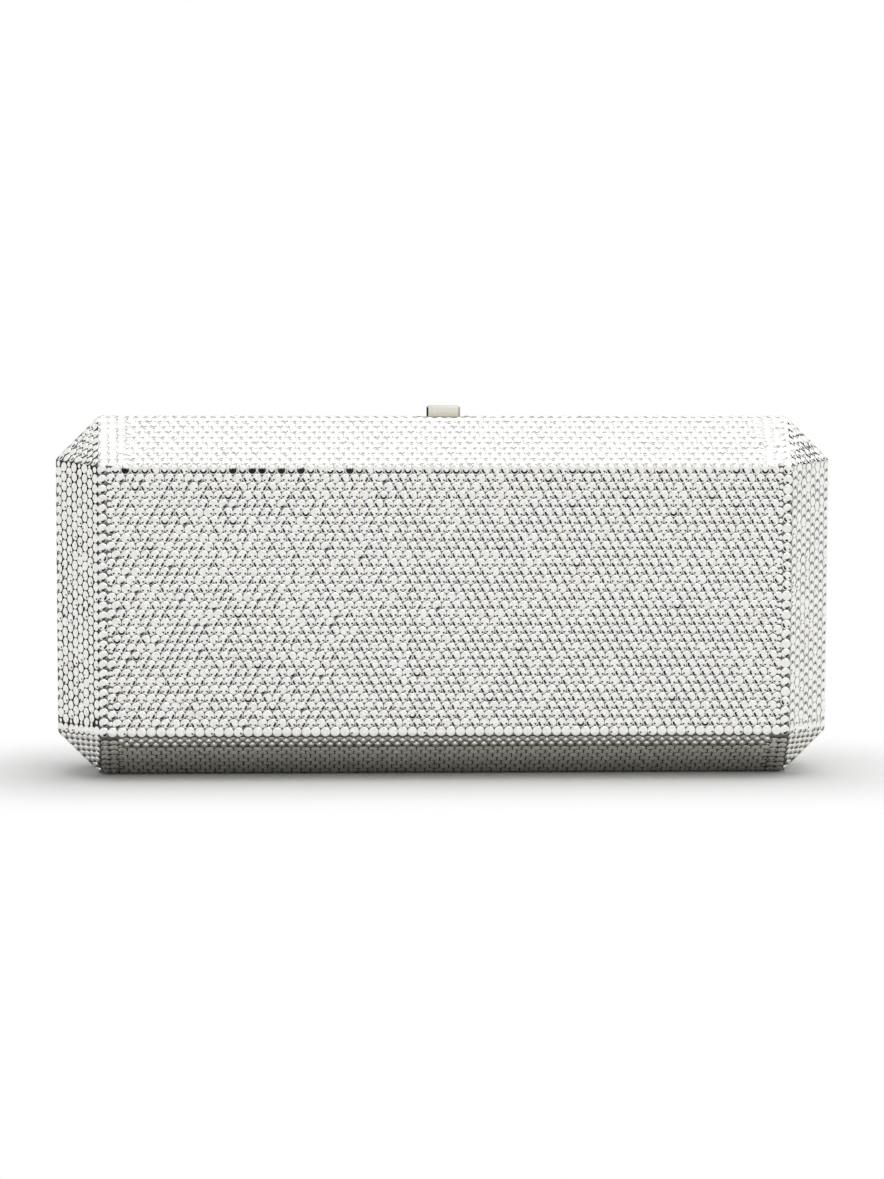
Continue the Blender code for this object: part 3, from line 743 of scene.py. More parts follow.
@dataclass(frozen=True)
class PaperFinish:
    """The pale paper that the bag stands on, which runs out into the white surroundings.

    Attributes:
        colour: The paper's colour.
        tooth: The pattern of its surface.
        tooth_light: The share of its light that the paper keeps in that pattern's lows.
        roughness: How rough it is.
        shine: How much it shines.
        footprint: Half of the bag's footprint, as its reach along each axis.
        reach: How far from the footprint the paper turns white.
    """

    colour: Colour = (0.93, 0.93, 0.925)
    tooth: Grain = Grain(40, 3)
    tooth_light: float = 0.995
    roughness: float = 0.9
    shine: float = 0.1
    footprint: tuple[float, float, float] = (0.086, 0.006, 1.0)
    reach: float = 0.06

    def build(self) -> bpy.types.Material:
        """Make the floor's material.

        Returns:
            The material.
        """
        sheet = NodeSheet("studio_paper")
        low = tuple(self.tooth_light * part for part in self.colour)
        tooth = sheet.tint(sheet.noise(self.tooth), low, self.colour)
        sheet.join(tooth, sheet.shader.inputs["Base Color"])
        sheet.constants(Roughness=self.roughness, Specular_IOR_Level=self.shine)
        away = self.beyond_footprint(sheet)
        distance = sheet.add("VectorMath", operation="LENGTH")
        sheet.join(away, distance.inputs[0])
        reach = sheet.add("MapRange", interpolation_type="SMOOTHSTEP")
        reach.inputs["From Max"].default_value = self.reach
        sheet.join(distance.outputs["Value"], reach.inputs["Value"])
        seen = sheet.add("Math", operation="MULTIPLY")
        sheet.join(reach.outputs["Result"], seen.inputs[0])
        sheet.join(seen_rays(sheet.tree), seen.inputs[1])
        white = sheet.add("Emission")
        mix = sheet.add("MixShader")
        sheet.join(seen.outputs[0], mix.inputs["Fac"])
        sheet.join(sheet.shader.outputs[0], mix.inputs[1])
        sheet.join(white.outputs[0], mix.inputs[2])
        sheet.join(mix.outputs[0], sheet.output.inputs["Surface"])
        return sheet.material

    def beyond_footprint(self, sheet: NodeSheet) -> bpy.types.NodeSocket:
        """How far a point lies outside the bag's footprint, along each axis.

        Args:
            sheet: The material's nodes.

        Returns:
            The socket that gives the distances.
        """
        folded = sheet.add("VectorMath", operation="ABSOLUTE")
        sheet.join(sheet.place(), folded.inputs[0])
        outside = sheet.add("VectorMath", operation="SUBTRACT")
        outside.inputs[1].default_value = self.footprint
        sheet.join(folded.outputs[0], outside.inputs[0])
        clipped = sheet.add("VectorMath", operation="MAXIMUM")
        clipped.inputs[1].default_value = (0, 0, 0)
        sheet.join(outside.outputs[0], clipped.inputs[0])
        return clipped.outputs[0]


@dataclass(frozen=True)
class RoundStone:
    """One round crystal: a flat table, two rings of crown facets and a point down in its setting.

    Attributes:
        radius: The radius at the girdle, the stone's widest place.
        point_height: The height of the point over the metal.
        girdle_height: The height of the girdle.
        break_height: The height of the edge between the two rings.
        table_height: The height of the table.
        break_share: The radius of that edge, as a share of the girdle's.
        table_share: The radius of the table, as a share of the girdle's.
        high_crown: The heights of the girdle and the middle edge of a stone with a high crown.
        flat_crown: Those heights of a stone with a flat crown.
        sides: The number of facets in a ring.
        beside: The point from which its faces are numbered.
    """

    radius: float = 0.00117
    point_height: float = 0.0003
    girdle_height: float = 0.000665
    break_height: float = 0.00078
    table_height: float = 0.00088
    break_share: float = 0.82
    table_share: float = 0.39
    high_crown: Span = (0.0004, 0.00076)
    flat_crown: Span = (0.00078, 0.00083)
    sides: int = 12
    beside: tuple[float, float, float] = (0.00117, 0.000351, 0)

    def model(self) -> bpy.types.Object:
        """Model the stone at the origin, with its table facing up.

        Returns:
            The stone, to be copied.
        """
        deselect_all()
        bpy.ops.mesh.primitive_cone_add(
            vertices=self.sides,
            radius1=self.radius,
            radius2=self.radius * self.break_share,
            depth=self.break_height - self.girdle_height,
            location=(0, 0, (self.break_height + self.girdle_height) / 2),
            rotation=(0, 0, math.pi / self.sides),
        )
        stone = bpy.context.object
        stone.name = "round_stone"
        bpy.ops.object.transform_apply()
        edit_faces(stone, lambda face: face.normal.z > SAME_WAY)
        rise = self.table_height - self.break_height
        bpy.ops.mesh.extrude_region_move(TRANSFORM_OT_translate={"value": (0, 0, rise)})
        draw_in = self.table_share / self.break_share
        centre = (0, 0, self.table_height)
        bpy.ops.transform.resize(value=(draw_in, draw_in, 1), center_override=centre)
        edit_faces(stone, lambda face: face.normal.z < -SAME_WAY)
        bpy.ops.mesh.poke(offset=self.girdle_height - self.point_height)
        self.number_faces()
        bpy.ops.object.mode_set(mode="OBJECT")
        return stone

    def number_faces(self) -> None:
        """Number the faces by their distance from the point beside the stone.

        An extrusion numbers its new faces by chance, and every run has to give the same mesh.
        """
        cursor = bpy.context.scene.cursor
        home = cursor.location.copy()
        cursor.location = self.beside
        bpy.ops.mesh.select_all(action="SELECT")
        bpy.ops.mesh.sort_elements(type="CURSOR_DISTANCE", elements={"FACE"})
        cursor.location = home

    def recut(self, stone: bpy.types.Object, name: str, crown: Span) -> bpy.types.Object:
        """Make a copy of the stone with another crown, by moving its girdle and its middle edge.

        Args:
            stone: The modelled stone.
            name: The copy's name.
            crown: The new heights of its girdle and its middle edge.

        Returns:
            The copy.
        """
        twin = copy_of(stone, name)
        moves = tuple(zip((self.girdle_height, self.break_height), crown))
        for vertex in twin.data.vertices:
            for old, new in moves:
                if abs(vertex.co.z - old) < TOLERANCE:
                    vertex.co.z = new
                    break
        return twin


@dataclass(frozen=True)
class Course:
    """A straight line of stones, all of one size.

    Attributes:
        start: The first stone's place.
        along: The line's direction.
        pitch: The spacing of the stones.
        count: The number of stones.
        size: The stones' size, as a share of the full one.
        cut: How high their crowns stand.
    """

    start: Vector
    along: Vector
    pitch: float
    count: int
    size: float = 1.0
    cut: Cut = Cut.LOW


@dataclass(frozen=True)
class Facet:
    """A flat facet of a half case, as the corners of its stones' top plane and its own axes.

    Attributes:
        corners: The corners, in order around the facet.
        normal: The direction that it faces.
        along: The direction of its courses.
        across: The direction from course to course.
    """

    corners: tuple[Vector, ...]
    normal: Vector
    along: Vector
    across: Vector

    @classmethod
    def of_node(cls, node: str) -> "Facet":
        """Read a facet off the outer face of its CAD sheet.

        Args:
            node: The name of the CAD node.

        Returns:
            The facet, with its courses along its longest edge, or along its most level one
            if it has three.
        """
        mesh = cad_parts[node].data
        middle = (CAD_BOX[0] + CAD_BOX[1]) / 2
        middle.y = 0
        outer = [face for face in mesh.polygons if face.normal.dot(face.center - middle) > 0]
        widest = max(outer, key=lambda face: face.area)
        normal = widest.normal.copy()
        flat = [face for face in outer if face.normal.dot(normal) > SAME_PLANE]
        places = {}
        for face in flat:
            for index in face.vertices:
                point = mesh.vertices[index].co
                places[tuple(round(part, PLACE_DIGITS) for part in point)] = point.copy()
        centre = sum(places.values(), Vector()) / len(places)
        first = (next(iter(places.values())) - centre).normalized()
        second = normal.cross(first)
        corners = sorted(
            places.values(),
            key=lambda p: math.atan2((p - centre).dot(second), (p - centre).dot(first)),
        )
        edges = [corners[i] - corners[i - 1] for i in range(len(corners))]
        if len(corners) == 4:
            along = max(edges, key=lambda edge: edge.length).normalized()
        else:
            along = min(edges, key=lambda edge: abs(edge.z)).normalized()
        if along.x < 0 or (abs(along.x) < SLIGHT and along.z < 0):
            along = -along
        return cls(tuple(corners), normal, along, normal.cross(along))

    @property
    def centre(self) -> Vector:
        """The middle of the corners."""
        return sum(self.corners, Vector()) / len(self.corners)

    @property
    def up(self) -> Vector:
        """The direction on the facet that points most nearly up."""
        up = Vector((0, 0, 1)) - self.normal * self.normal.z
        return up.normalized() if up.length > SLIGHT else Vector((0, -1, 0))

    def flat_corners(self) -> np.ndarray:
        """The corners as distances along and across from the centre."""
        away = [corner - self.centre for corner in self.corners]
        return np.array([(part.dot(self.along), part.dot(self.across)) for part in away])

    def walls(self, margin: float) -> tuple[np.ndarray, np.ndarray]:
        """The facet's edges as lines that points are kept inside of.

        Args:
            margin: How far points keep from the edges.

        Returns:
            Each edge's inward direction, and the least distance along it that a point may have.
        """
        flat = self.flat_corners()
        directions, limits = [], []
        for i in range(len(flat)):
            edge = (flat[i] - flat[i - 1]) / np.linalg.norm(flat[i] - flat[i - 1])
            inward = np.array((-edge[1], edge[0]))
            if inward @ (flat.mean(0) - flat[i]) < 0:
                inward = -inward
            directions.append(inward)
            limits.append(inward @ flat[i] + margin)
        return np.array(directions), np.array(limits)

    def reach(self, height: float, margin: float) -> tuple[float, float]:
        """Where a line along the courses enters and leaves the facet.

        Args:
            height: The line's distance across from the centre.
            margin: How far the line's ends keep from the edges.

        Returns:
            The two ends as distances along from the centre.
        """
        low, high = -math.inf, math.inf
        for inward, limit in zip(*self.walls(margin)):
            if abs(inward[0]) < TOLERANCE:
                continue
            end = (limit - inward[1] * height) / inward[0]
            if inward[0] > 0:
                low = max(low, end)
            else:
                high = min(high, end)
        return low, high

    def point(self, along: float, across: float) -> Vector:
        """A point on the stones' top plane, from its distances from the centre."""
        return self.centre + self.along * along + self.across * across


@dataclass(frozen=True)
class Pavement:
    """How a facet is set with stones.

    Attributes:
        pitch: The spacing of the stones in a course.
        course_pitch: The spacing of the courses.
        margin: How far the outermost stones' centres keep from the facet's edges.
        borders: How many columns of stones run along the start and along the end.
        border_pitch: The spacing of the stones in those columns.
        border_spacing: The spacing of the columns, and of the courses from them.
        filler: The size of the small stones that fill the notches beside the border, as a share
            of the full one.
        size: The size of the stones, as a share of the full one.
        spread: Whether each course is spread evenly from edge to edge, as on a facet with three
            corners.
        cut: How high the stones' crowns stand.
        high_rows: Which courses have stones with high crowns, counted from the top one down,
            from 0.
        notch_filler: The size of the small stones above the highest course, or 0 where there
            are none.
        notch_rise: How far above that course they lie.
        lead: How much further the highest course keeps from its edge.
        drop: How far the bed lies below the stones' tops.
        overhang: How far a course's end stones may stand past its ends, as a share of the pitch.
        stretch: How much of a pitch a spread course may lack for one more stone.
        least_room: The least room that a small stone needs, as a share of the pitch.
        largest_filler: The size of the largest small stone where there is no border.
    """

    pitch: float = 0.002353
    course_pitch: float = 0.00204
    margin: float = 0.00115
    borders: tuple[int, int] = (0, 0)
    border_pitch: float = 0.00232
    border_spacing: float = 0.00212
    filler: float = 0.42
    size: float = 1.0
    spread: bool = False
    cut: Cut = Cut.LOW
    high_rows: tuple[int, ...] = ()
    notch_filler: float = 0.0
    notch_rise: float = 0.00074
    lead: float = 0.0
    drop: float = 0.0005
    overhang: float = 0.15
    stretch: float = 0.35
    least_room: float = 0.2
    largest_filler: float = 0.62

    def courses(self, facet: Facet) -> list[Course]:
        """Lay out a facet's courses.

        Args:
            facet: The facet to set.

        Returns:
            The courses, from one side of the facet to the other, and then its border columns.
        """
        across = facet.flat_corners()[:, 1]
        low, high = across.min() + self.margin, across.max() - self.margin
        if self.spread:
            return self.ranks(facet, low, high)
        if facet.across.dot(facet.up) > 0:
            high -= self.lead
        else:
            low += self.lead
        rows = max(1, round((high - low) / self.course_pitch))
        insets = [self.margin + columns * self.border_spacing for columns in self.borders]
        anchor, end = self.span(facet, (low + high) / 2, insets)
        pitch = (end - anchor) / round((end - anchor) / self.pitch)
        laid = []
        for row in range(rows + 1):
            height = low + (high - low) * row / rows
            start, end = self.span(facet, height, insets)
            phase = anchor + (row % 2) * pitch / 2
            first = math.ceil((start - phase) / pitch - self.overhang)
            last = math.floor((end - phase) / pitch + self.overhang)
            ends = (phase + first * pitch, phase + last * pitch)
            place = self.place_from_top(facet, row, rows)
            cut = Cut.HIGH if place in self.high_rows else self.cut
            seat = facet.point(ends[0], height)
            laid.append(Course(seat, facet.along, pitch, last - first + 1, self.size, cut))
            if place == 0 and self.notch_filler:
                laid.append(self.notches(facet, laid[-1]))
            laid += self.fill(facet, height, ends)
        for end, columns in enumerate(self.borders):
            laid += [self.border(facet, low, high, column, end) for column in range(columns)]
        return laid

    @staticmethod
    def span(facet: Facet, height: float, insets: Sequence[float]) -> tuple[float, float]:
        """Where a course may start and end.

        Args:
            facet: The facet to set.
            height: The course's distance across.
            insets: How far its first and last stones keep from the facet's edges.

        Returns:
            The two ends as distances along from the centre.
        """
        return facet.reach(height, insets[0])[0], facet.reach(height, insets[1])[1]

    @staticmethod
    def place_from_top(facet: Facet, row: int, rows: int) -> int:
        """How many courses lie higher up on a facet than a given one, which is one of 0 to rows."""
        return rows - row if facet.across.dot(facet.up) > 0 else row

    def notches(self, facet: Facet, course: Course) -> Course:
        """Fill the notches between the highest course and the facet's upper edge.

        Args:
            facet: The facet to set.
            course: Its highest course.

        Returns:
            The small stones, each between two of the course's.
        """
        first = course.start + course.along * course.pitch / 2 + facet.up * self.notch_rise
        count = course.count - 1
        return Course(first, course.along, course.pitch, count, self.notch_filler, Cut.FLAT)

    def ranks(self, facet: Facet, low: float, high: float) -> list[Course]:
        """Lay courses that are each spread evenly from edge to edge.

        Args:
            facet: The facet to set.
            low: The first course's distance across.
            high: The last course's distance across.

        Returns:
            The courses.
        """
        laid = []
        rows = round((high - low) / self.course_pitch)
        for row in range(rows + 1):
            height = low + (high - low) * row / rows
            start, end = facet.reach(height, self.margin)
            gaps = max(0, math.floor((end - start) / self.pitch + self.stretch))
            first, pitch = (start + end) / 2, self.pitch
            if gaps:
                first, pitch = start, (end - start) / gaps
            seat = facet.point(first, height)
            laid.append(Course(seat, facet.along, pitch, gaps + 1, self.size, self.cut))
        return laid

    def fill(self, facet: Facet, height: float, ends: tuple[float, float]) -> list[Course]:
        """Fill the notches at the ends of one course with small stones.

        Args:
            facet: The facet to set.
            height: The course's distance across.
            ends: The distances along of the course's first and last stones.

        Returns:
            One small stone for each end with room for it.
        """
        laid = []
        for side, (end, columns) in enumerate(zip(ends, self.borders)):
            inset = self.margin + max(0, columns - 1) * self.border_spacing
            edge = facet.reach(height, inset)[side]
            outward = -1 if side == 0 else 1
            taken = self.pitch if columns else self.pitch / 2 - self.margin
            room = outward * (edge - end) - taken
            if room > self.least_room * self.pitch:
                seat = facet.point(end + outward * (self.pitch + room) / 2, height)
                size = self.filler if columns else min(self.largest_filler, room / self.pitch)
                laid.append(Course(seat, facet.along, self.pitch, 1, size, self.cut))
        return laid

    def border(self, facet: Facet, low: float, high: float, column: int, end: int) -> Course:
        """Lay out one border column.

        Args:
            facet: The facet to set.
            low: The column's first distance across.
            high: Its last distance across.
            column: How many columns lie outside it.
            end: The end of the facet that it runs along: 0 for the start, 1 for the end.

        Returns:
            The column.
        """
        inset = self.margin + column * self.border_spacing
        first = facet.point(facet.reach(low, inset)[end], low)
        last = facet.point(facet.reach(high, inset)[end], high)
        count = max(1, round((last - first).length / self.border_pitch))
        step = (last - first) / count
        return Course(first, step.normalized(), step.length, count + 1, self.size, self.cut)


Shares = dict[Sparkle, float]


@dataclass(frozen=True)
class SparkleMix:
    """Which painted dark reflections and painted glints a facet's stones show, from its left end
    over its middle to its right end.

    Attributes:
        left: The share of each kind of glint at the left end.
        middle: The shares in the middle.
        right: The shares at the right end.
        depth: How dark the painted reflections are, from 0 to 1.
        painted_light: How light the stones on this facet are painted, a painted level of the light
            that falls on it.
        edge: How light the outermost facets are painted.
        below: How light the stones are painted below their girdles, a painted shade.
        scatter: How unevenly light the facets are, from 0 to 1.
        fade: How much of the painted light the lowest course loses, from 0 to 1: painted shade,
            darker towards the bottom.
        bed: The painted light and shade of the bed between the stones, from dark to light.
        warmth: How warm the stones look, from 0 to 1.
        unrest: How unevenly the stones lie, as a multiple of the usual.
        high: The painted glint of the stones with high crowns.
        border_reach: How far in from each end the border's shares hold.
        course_reach: How far the highest and the lowest course reach down and up.
        top: The shares at the left and the right end of the highest course, where they differ.
        black_places: How far right in that course its stones painted wholly dark, as dark
            reflections, lie.
        bottom: The shares in the lowest course, where they differ.
        left_border: The shares in the leftmost column, where they differ.
        right_border: The shares in the rightmost column, where they differ.
    """

    left: Shares
    middle: Shares
    right: Shares
    depth: float = 1.0
    painted_light: float = 1.0
    edge: float = 1.0
    below: float = 0.5
    scatter: float = 0.09
    fade: float = 0.0
    bed: float = 0.15
    warmth: float = 0.0
    unrest: float = 1.0
    high: Sparkle = Sparkle.GLINT
    border_reach: float = 0.0004
    course_reach: float = 0.0004
    top: tuple[Shares, Shares] | None = None
    black_places: tuple[float, ...] = ()
    bottom: Shares | None = None
    left_border: Shares | None = None
    right_border: Shares | None = None

    def choose(
        self, places: np.ndarray, heights: np.ndarray, random: np.random.Generator
    ) -> np.ndarray:
        """Choose each stone's glint.

        Args:
            places: How far right each stone lies, in metres.
            heights: How high each stone lies, in metres.
            random: The source of chance.

        Returns:
            The number of each stone's kind in the list of kinds.
        """
        shares = self.blend_shares(places, (self.left, self.middle, self.right))
        highest = heights > heights.max() - self.course_reach
        odd_ones = (
            ((self.bottom,), heights < heights.min() + self.course_reach),
            (self.top or (None,), highest),
            ((self.left_border,), places < places.min() + self.border_reach),
            ((self.right_border,), places > places.max() - self.border_reach),
        )
        for mixes, where in odd_ones:
            if None not in mixes:
                shares[where] = self.blend_shares(places, mixes)[where]
        draws = random.random(len(places))[:, None]
        chosen = (np.cumsum(shares, 1) < draws).sum(1).clip(0, len(Sparkle) - 1)
        for place in self.black_places:
            nearest = np.abs(places - place) + np.where(highest, 0, 1)
            chosen[nearest.argmin()] = list(Sparkle).index(Sparkle.BLACK)
        return chosen

    @staticmethod
    def blend_shares(places: np.ndarray, mixes: Sequence[Shares]) -> np.ndarray:
        """Blend shares evenly from the left to the right.

        Args:
            places: How far right each stone lies, in metres.
            mixes: The shares at even steps from the leftmost stone to the rightmost.

        Returns:
            Each stone's share of each kind.
        """
        table = np.array([[mix.get(kind, 0) for kind in Sparkle] for mix in mixes])
        table = table / table.sum(1, keepdims=True)
        stops = np.linspace(places.min(), places.max() + LEAST, len(mixes))
        return np.array([np.interp(places, stops, column) for column in table.T]).T


@dataclass
class StoneSetter:
    """Sets copies of one stone on facets, and paints every facet of every stone with its own light
    and shade.

    Attributes:
        stone: The stone that is copied.
        height: The height of the stones' top plane over the metal.
        sink: How deep a smaller stone sits, as a share of what it lacks in height.
        shift: How far a stone lies from its place, as a standard deviation.
        most_shift: The most that it may lie from there, in such deviations.
        tilt: How far it leans, in radians.
        spin: How far it is turned, in radians.
        large: The width from which a stone shows a painted glint, as a share of the full radius.
        least_depth: The share of their painted darkness that the palest glints keep.
        fade_power: How late down the facet the painted shade sets in.
        brightest: The most painted light that a facet may have.
        warmest: The tone of the warmest stones.
        warm_power: How rare warm stones are.
        seed: The start of the random numbers.
    """

    stone: RoundStone = field(default_factory=RoundStone)
    height: float = 0.0009
    sink: float = 0.8
    shift: float = 0.00002
    most_shift: float = 2
    tilt: float = 0.02
    spin: float = 0.1
    large: float = 1.3
    least_depth: float = 0.98
    fade_power: float = 1.3
    brightest: float = 1.04
    warmest: float = 0.7
    warm_power: int = 14
    seed: int = 11

    def __post_init__(self) -> None:
        """Model the stone and sort its faces."""
        self.random = np.random.default_rng(self.seed)
        low = self.stone.model()
        faces = low.data.polygons
        self.models = {
            Cut.LOW: low,
            Cut.HIGH: self.stone.recut(low, "high_stone", self.stone.high_crown),
            Cut.FLAT: self.stone.recut(low, "flat_stone", self.stone.flat_crown),
        }
        for cut, model in self.models.items():
            attribute = model.data.attributes.new("catches_light", "FLOAT", "FACE")
            attribute.data.foreach_set("value", [float(cut is Cut.HIGH)] * len(faces))
        self.face_count = len(faces)
        self.corner_count = len(low.data.vertices)
        angles = [math.atan2(face.center.y, face.center.x) for face in faces]
        angles = [round(angle, ANGLE_DIGITS) for angle in angles]
        around = np.argsort(angles, kind="stable")
        heights = np.array([faces[i].center.z for i in around])
        level = np.array([faces[i].normal.z > SAME_WAY for i in around])
        self.table = around[level]
        self.crown = around[(heights > self.stone.break_height) & ~level]
        below_break = heights < self.stone.break_height
        self.edge = around[(heights > self.stone.girdle_height) & below_break]

    def lay(self, course: Course, normal: Vector) -> bpy.types.Object:
        """Copy the stone along one course.

        Args:
            course: Where the stones go.
            normal: The direction that their tables face.

        Returns:
            The course as one object, with its place in its mesh.
        """
        row = copy_of(self.models[course.cut], "course")
        if course.size != 1:
            lift = self.stone.table_height * (1 - course.size)
            raised = Matrix.Translation((0, 0, lift * self.sink))
            row.data.transform(raised @ Matrix.Scale(course.size, 4))
        if course.count > 1:
            apply_modifier(
                row,
                "ARRAY",
                count=course.count,
                use_relative_offset=False,
                use_constant_offset=True,
                constant_offset_displace=(course.pitch, 0, 0),
            )
        side = normal.cross(course.along)
        turn = Matrix((course.along, side, normal)).transposed().to_4x4()
        seat = course.start - normal * self.height
        row.data.transform(Matrix.Translation(seat) @ turn)
        return row

    def pave(
        self, name: str, courses: Iterable[Course], normal: Vector, up: Vector, mix: SparkleMix
    ) -> bpy.types.Object:
        """Set one facet.

        Args:
            name: The piece's name.
            courses: The courses of stones.
            normal: The direction that the facet faces.
            up: The direction on the facet that the glints take as up.
            mix: Which glints the stones show.

        Returns:
            The paved facet as one object.
        """
        rows = [self.lay(course, normal) for course in courses]
        pick(rows[0], *rows[1:])
        if len(rows) > 1:
            bpy.ops.object.join()
        piece = bpy.context.view_layer.objects.active
        piece.name = piece.data.name = name
        self.unsettle(piece, normal, mix.unrest)
        self.light(piece, normal, up, mix)
        return piece

    def clear(self) -> None:
        """Remove the stones that were copied."""
        for model in self.models.values():
            bpy.data.objects.remove(model)

    def corners_of(self, piece: bpy.types.Object) -> np.ndarray:
        """Read the corners of each stone in a piece.

        Args:
            piece: The paved facet.

        Returns:
            The places, as stones by corners by three.
        """
        places = np.empty(len(piece.data.vertices) * 3)
        piece.data.vertices.foreach_get("co", places)
        return places.reshape(-1, self.corner_count, 3)

    def unsettle(self, piece: bpy.types.Object, normal: Vector, unrest: float) -> None:
        """Shift, tilt and turn each stone a little, as stones set by hand lie.

        Args:
            piece: The paved facet.
            normal: The direction that it faces.
            unrest: How unevenly they lie, as a multiple of the usual.
        """
        stones = self.corners_of(piece)
        centres = stones.mean(1, keepdims=True)
        count = len(stones)
        axis = np.array(normal)
        turns = self.random.normal(0, 1, (count, 3)) * self.tilt * unrest
        turns -= np.outer(turns @ axis, axis)
        turns += np.outer(self.random.normal(0, self.spin, count), axis)
        shifts = self.random.normal(0, self.shift * unrest, (count, 3))
        reach = self.most_shift * self.shift * unrest
        shifts = shifts.clip(-reach, reach)
        shifts -= np.outer(shifts @ axis, axis)
        away = stones - centres
        moved = away + np.cross(turns[:, None, :], away) + centres + shifts[:, None, :]
        top = np.median((stones @ axis).max(1))
        over = (moved @ axis - top).max(1).clip(0)
        moved -= over[:, None, None] * axis
        piece.data.vertices.foreach_set("co", moved.ravel())
        piece.data.update()

    def choose_kinds(
        self,
        piece: bpy.types.Object,
        stones: np.ndarray,
        along: np.ndarray,
        heights: np.ndarray,
        mix: SparkleMix,
    ) -> np.ndarray:
        """Choose each stone's glint.

        Small stones stay plain, and high crowns show a painted glint of their own.

        Args:
            piece: The paved facet.
            stones: The corners of its stones.
            along: How far right each stone lies, in metres.
            heights: How high each stone lies, in metres.
            mix: Which glints the stones show.

        Returns:
            The number of each stone's kind in the list of kinds.
        """
        kinds = list(Sparkle)
        large = np.ptp(stones, axis=1).max(1) > self.large * self.stone.radius
        chosen = np.full(len(stones), kinds.index(Sparkle.PLAIN))
        chosen[large] = mix.choose(along[large], heights[large], self.random)
        catches = np.empty(len(piece.data.polygons), np.float32)
        attribute = piece.data.attributes["catches_light"]
        attribute.data.foreach_get("value", catches)
        piece.data.attributes.remove(attribute)
        high = catches.reshape(len(stones), self.face_count)[:, 0] > 0
        chosen[high] = kinds.index(mix.high)
        return chosen

    def light(self, piece: bpy.types.Object, normal: Vector, up: Vector, mix: SparkleMix) -> None:
        """Paint every facet's light and shade, with painted dark reflections and glints, and give
        every stone its warmth.

        Args:
            piece: The paved facet.
            normal: The direction that it faces.
            up: The direction on the facet that the glints take as up.
            mix: Which glints the stones show.
        """
        stones = self.corners_of(piece)
        count = len(stones)
        centres = stones.mean(1)
        right = np.array(up.cross(normal))
        above = np.array(up)
        kinds = list(Sparkle)
        chosen = self.choose_kinds(piece, stones, centres @ right, centres @ above, mix)
        strengths = np.array([kind.value for kind in kinds])[chosen]
        to_table, to_edge = (
            np.array([reach.get(kind, 0.0) for kind in kinds])[chosen]
            for reach in (TABLE_REACH, EDGE_REACH)
        )
        faces = np.empty(len(piece.data.polygons) * 3)
        piece.data.polygons.foreach_get("center", faces)
        away = faces.reshape(count, self.face_count, 3) - centres[:, None]
        angles = np.degrees(np.arctan2(away @ above, away @ right))
        sides = self.stone.sides
        places = np.round((angles + 180) / (360 / sides)).astype(int) % sides
        depth = mix.depth * self.random.uniform(self.least_depth, 1.0, (count, 1))
        # Painted light and shade: painted shade below the girdles, and painted dark reflections and
        # glints on the crowns and tables.
        shade = np.full((count, self.face_count), mix.below * mix.painted_light)
        rings = ((self.crown, np.ones(count), mix.painted_light), (self.edge, to_edge, mix.edge))
        for ring, reached, share in rings:
            light = share * self.random.uniform(1 - mix.scatter, 1.0, (count, len(ring)))
            dark = np.take_along_axis(strengths, places[:, ring], 1) * reached[:, None]
            shade[:, ring] = light * (1 - depth * dark)
        light = mix.painted_light * self.random.uniform(1 - mix.scatter, 1.0, (count, len(self.table)))
        shade[:, self.table] = light * (1 - depth * to_table[:, None])
        # Painted shade, darker towards the bottom of the facet.
        heights = centres @ above
        way_down = (heights.max() - heights) / max(np.ptp(heights), LEAST)
        kept = 1 - mix.fade * way_down[:, None] ** self.fade_power
        shade = (shade * kept).clip(0, self.brightest)
        warm = np.maximum(self.warmest * self.random.random(count) ** self.warm_power, mix.warmth)
        tones = np.repeat(warm, self.face_count)
        for name, values in (("facet_light", shade.ravel()), ("stone_tone", tones)):
            attribute = piece.data.attributes.new(name, "FLOAT", "FACE")
            attribute.data.foreach_set("value", values.astype(np.float32))


# Each mix paints light and shade into its facet: its marks are painted dark reflections, its glints
# painted highlights, and its light, bed and fade values paint the stones and the bed lighter or
# darker for how light falls on the facet.
FACE_MIX = SparkleMix(
    left={
        Sparkle.RIGHT_DASH: 5,
        Sparkle.PAIR: 2.4,
        Sparkle.RIGHT_DOT: 1.6,
        Sparkle.ARROW: 0.8,
        Sparkle.CUP: 0.3,
    },
    middle={
        Sparkle.LEFT_DASH: 6,
        Sparkle.PAIR: 2,
        Sparkle.LEFT_DOT: 1,
        Sparkle.LONG_DASH: 1,
        Sparkle.CUP: 0.1,
    },
    right={
        Sparkle.LEFT_DASH: 4,
        Sparkle.LONG_DASH: 4,
        Sparkle.LEFT_DOT: 1,
        Sparkle.PAIR: 1,
        Sparkle.CUP: 0.1,
    },
    bed=0.25,
    top=(
        {Sparkle.CUP: 8, Sparkle.SMALL_CUP: 2},
        {Sparkle.LEFT_DASH: 4, Sparkle.LONG_DASH: 4, Sparkle.CUP: 2},
    ),
    black_places=(-0.0767, -0.0514, -0.0468, -0.0444, -0.0396, -0.035, -0.023),
    bottom={Sparkle.PLAIN: 8, Sparkle.LEFT_DOT: 1, Sparkle.RIGHT_DOT: 1},
    left_border={Sparkle.ARROW: 9, Sparkle.RIGHT_DASH: 1},
    right_border={Sparkle.LOW_DASH: 3, Sparkle.LEFT_DASH: 3, Sparkle.ARROW: 3, Sparkle.PLAIN: 1},
)
# Painted shade: the left bevel's bed is painted nearly black between the stones, as light falls
# from the right.
LEFT_MIX = SparkleMix(
    left={Sparkle.PLAIN: 3, Sparkle.RIGHT_DOT: 1, Sparkle.LOW_DASH: 2},
    middle={Sparkle.PLAIN: 4, Sparkle.LEFT_DOT: 1, Sparkle.LOW_DASH: 1, Sparkle.RIGHT_DOT: 1},
    right={Sparkle.PLAIN: 4, Sparkle.LEFT_DOT: 1, Sparkle.RIGHT_DOT: 1},
    bed=0.03,
    unrest=2.0,
)
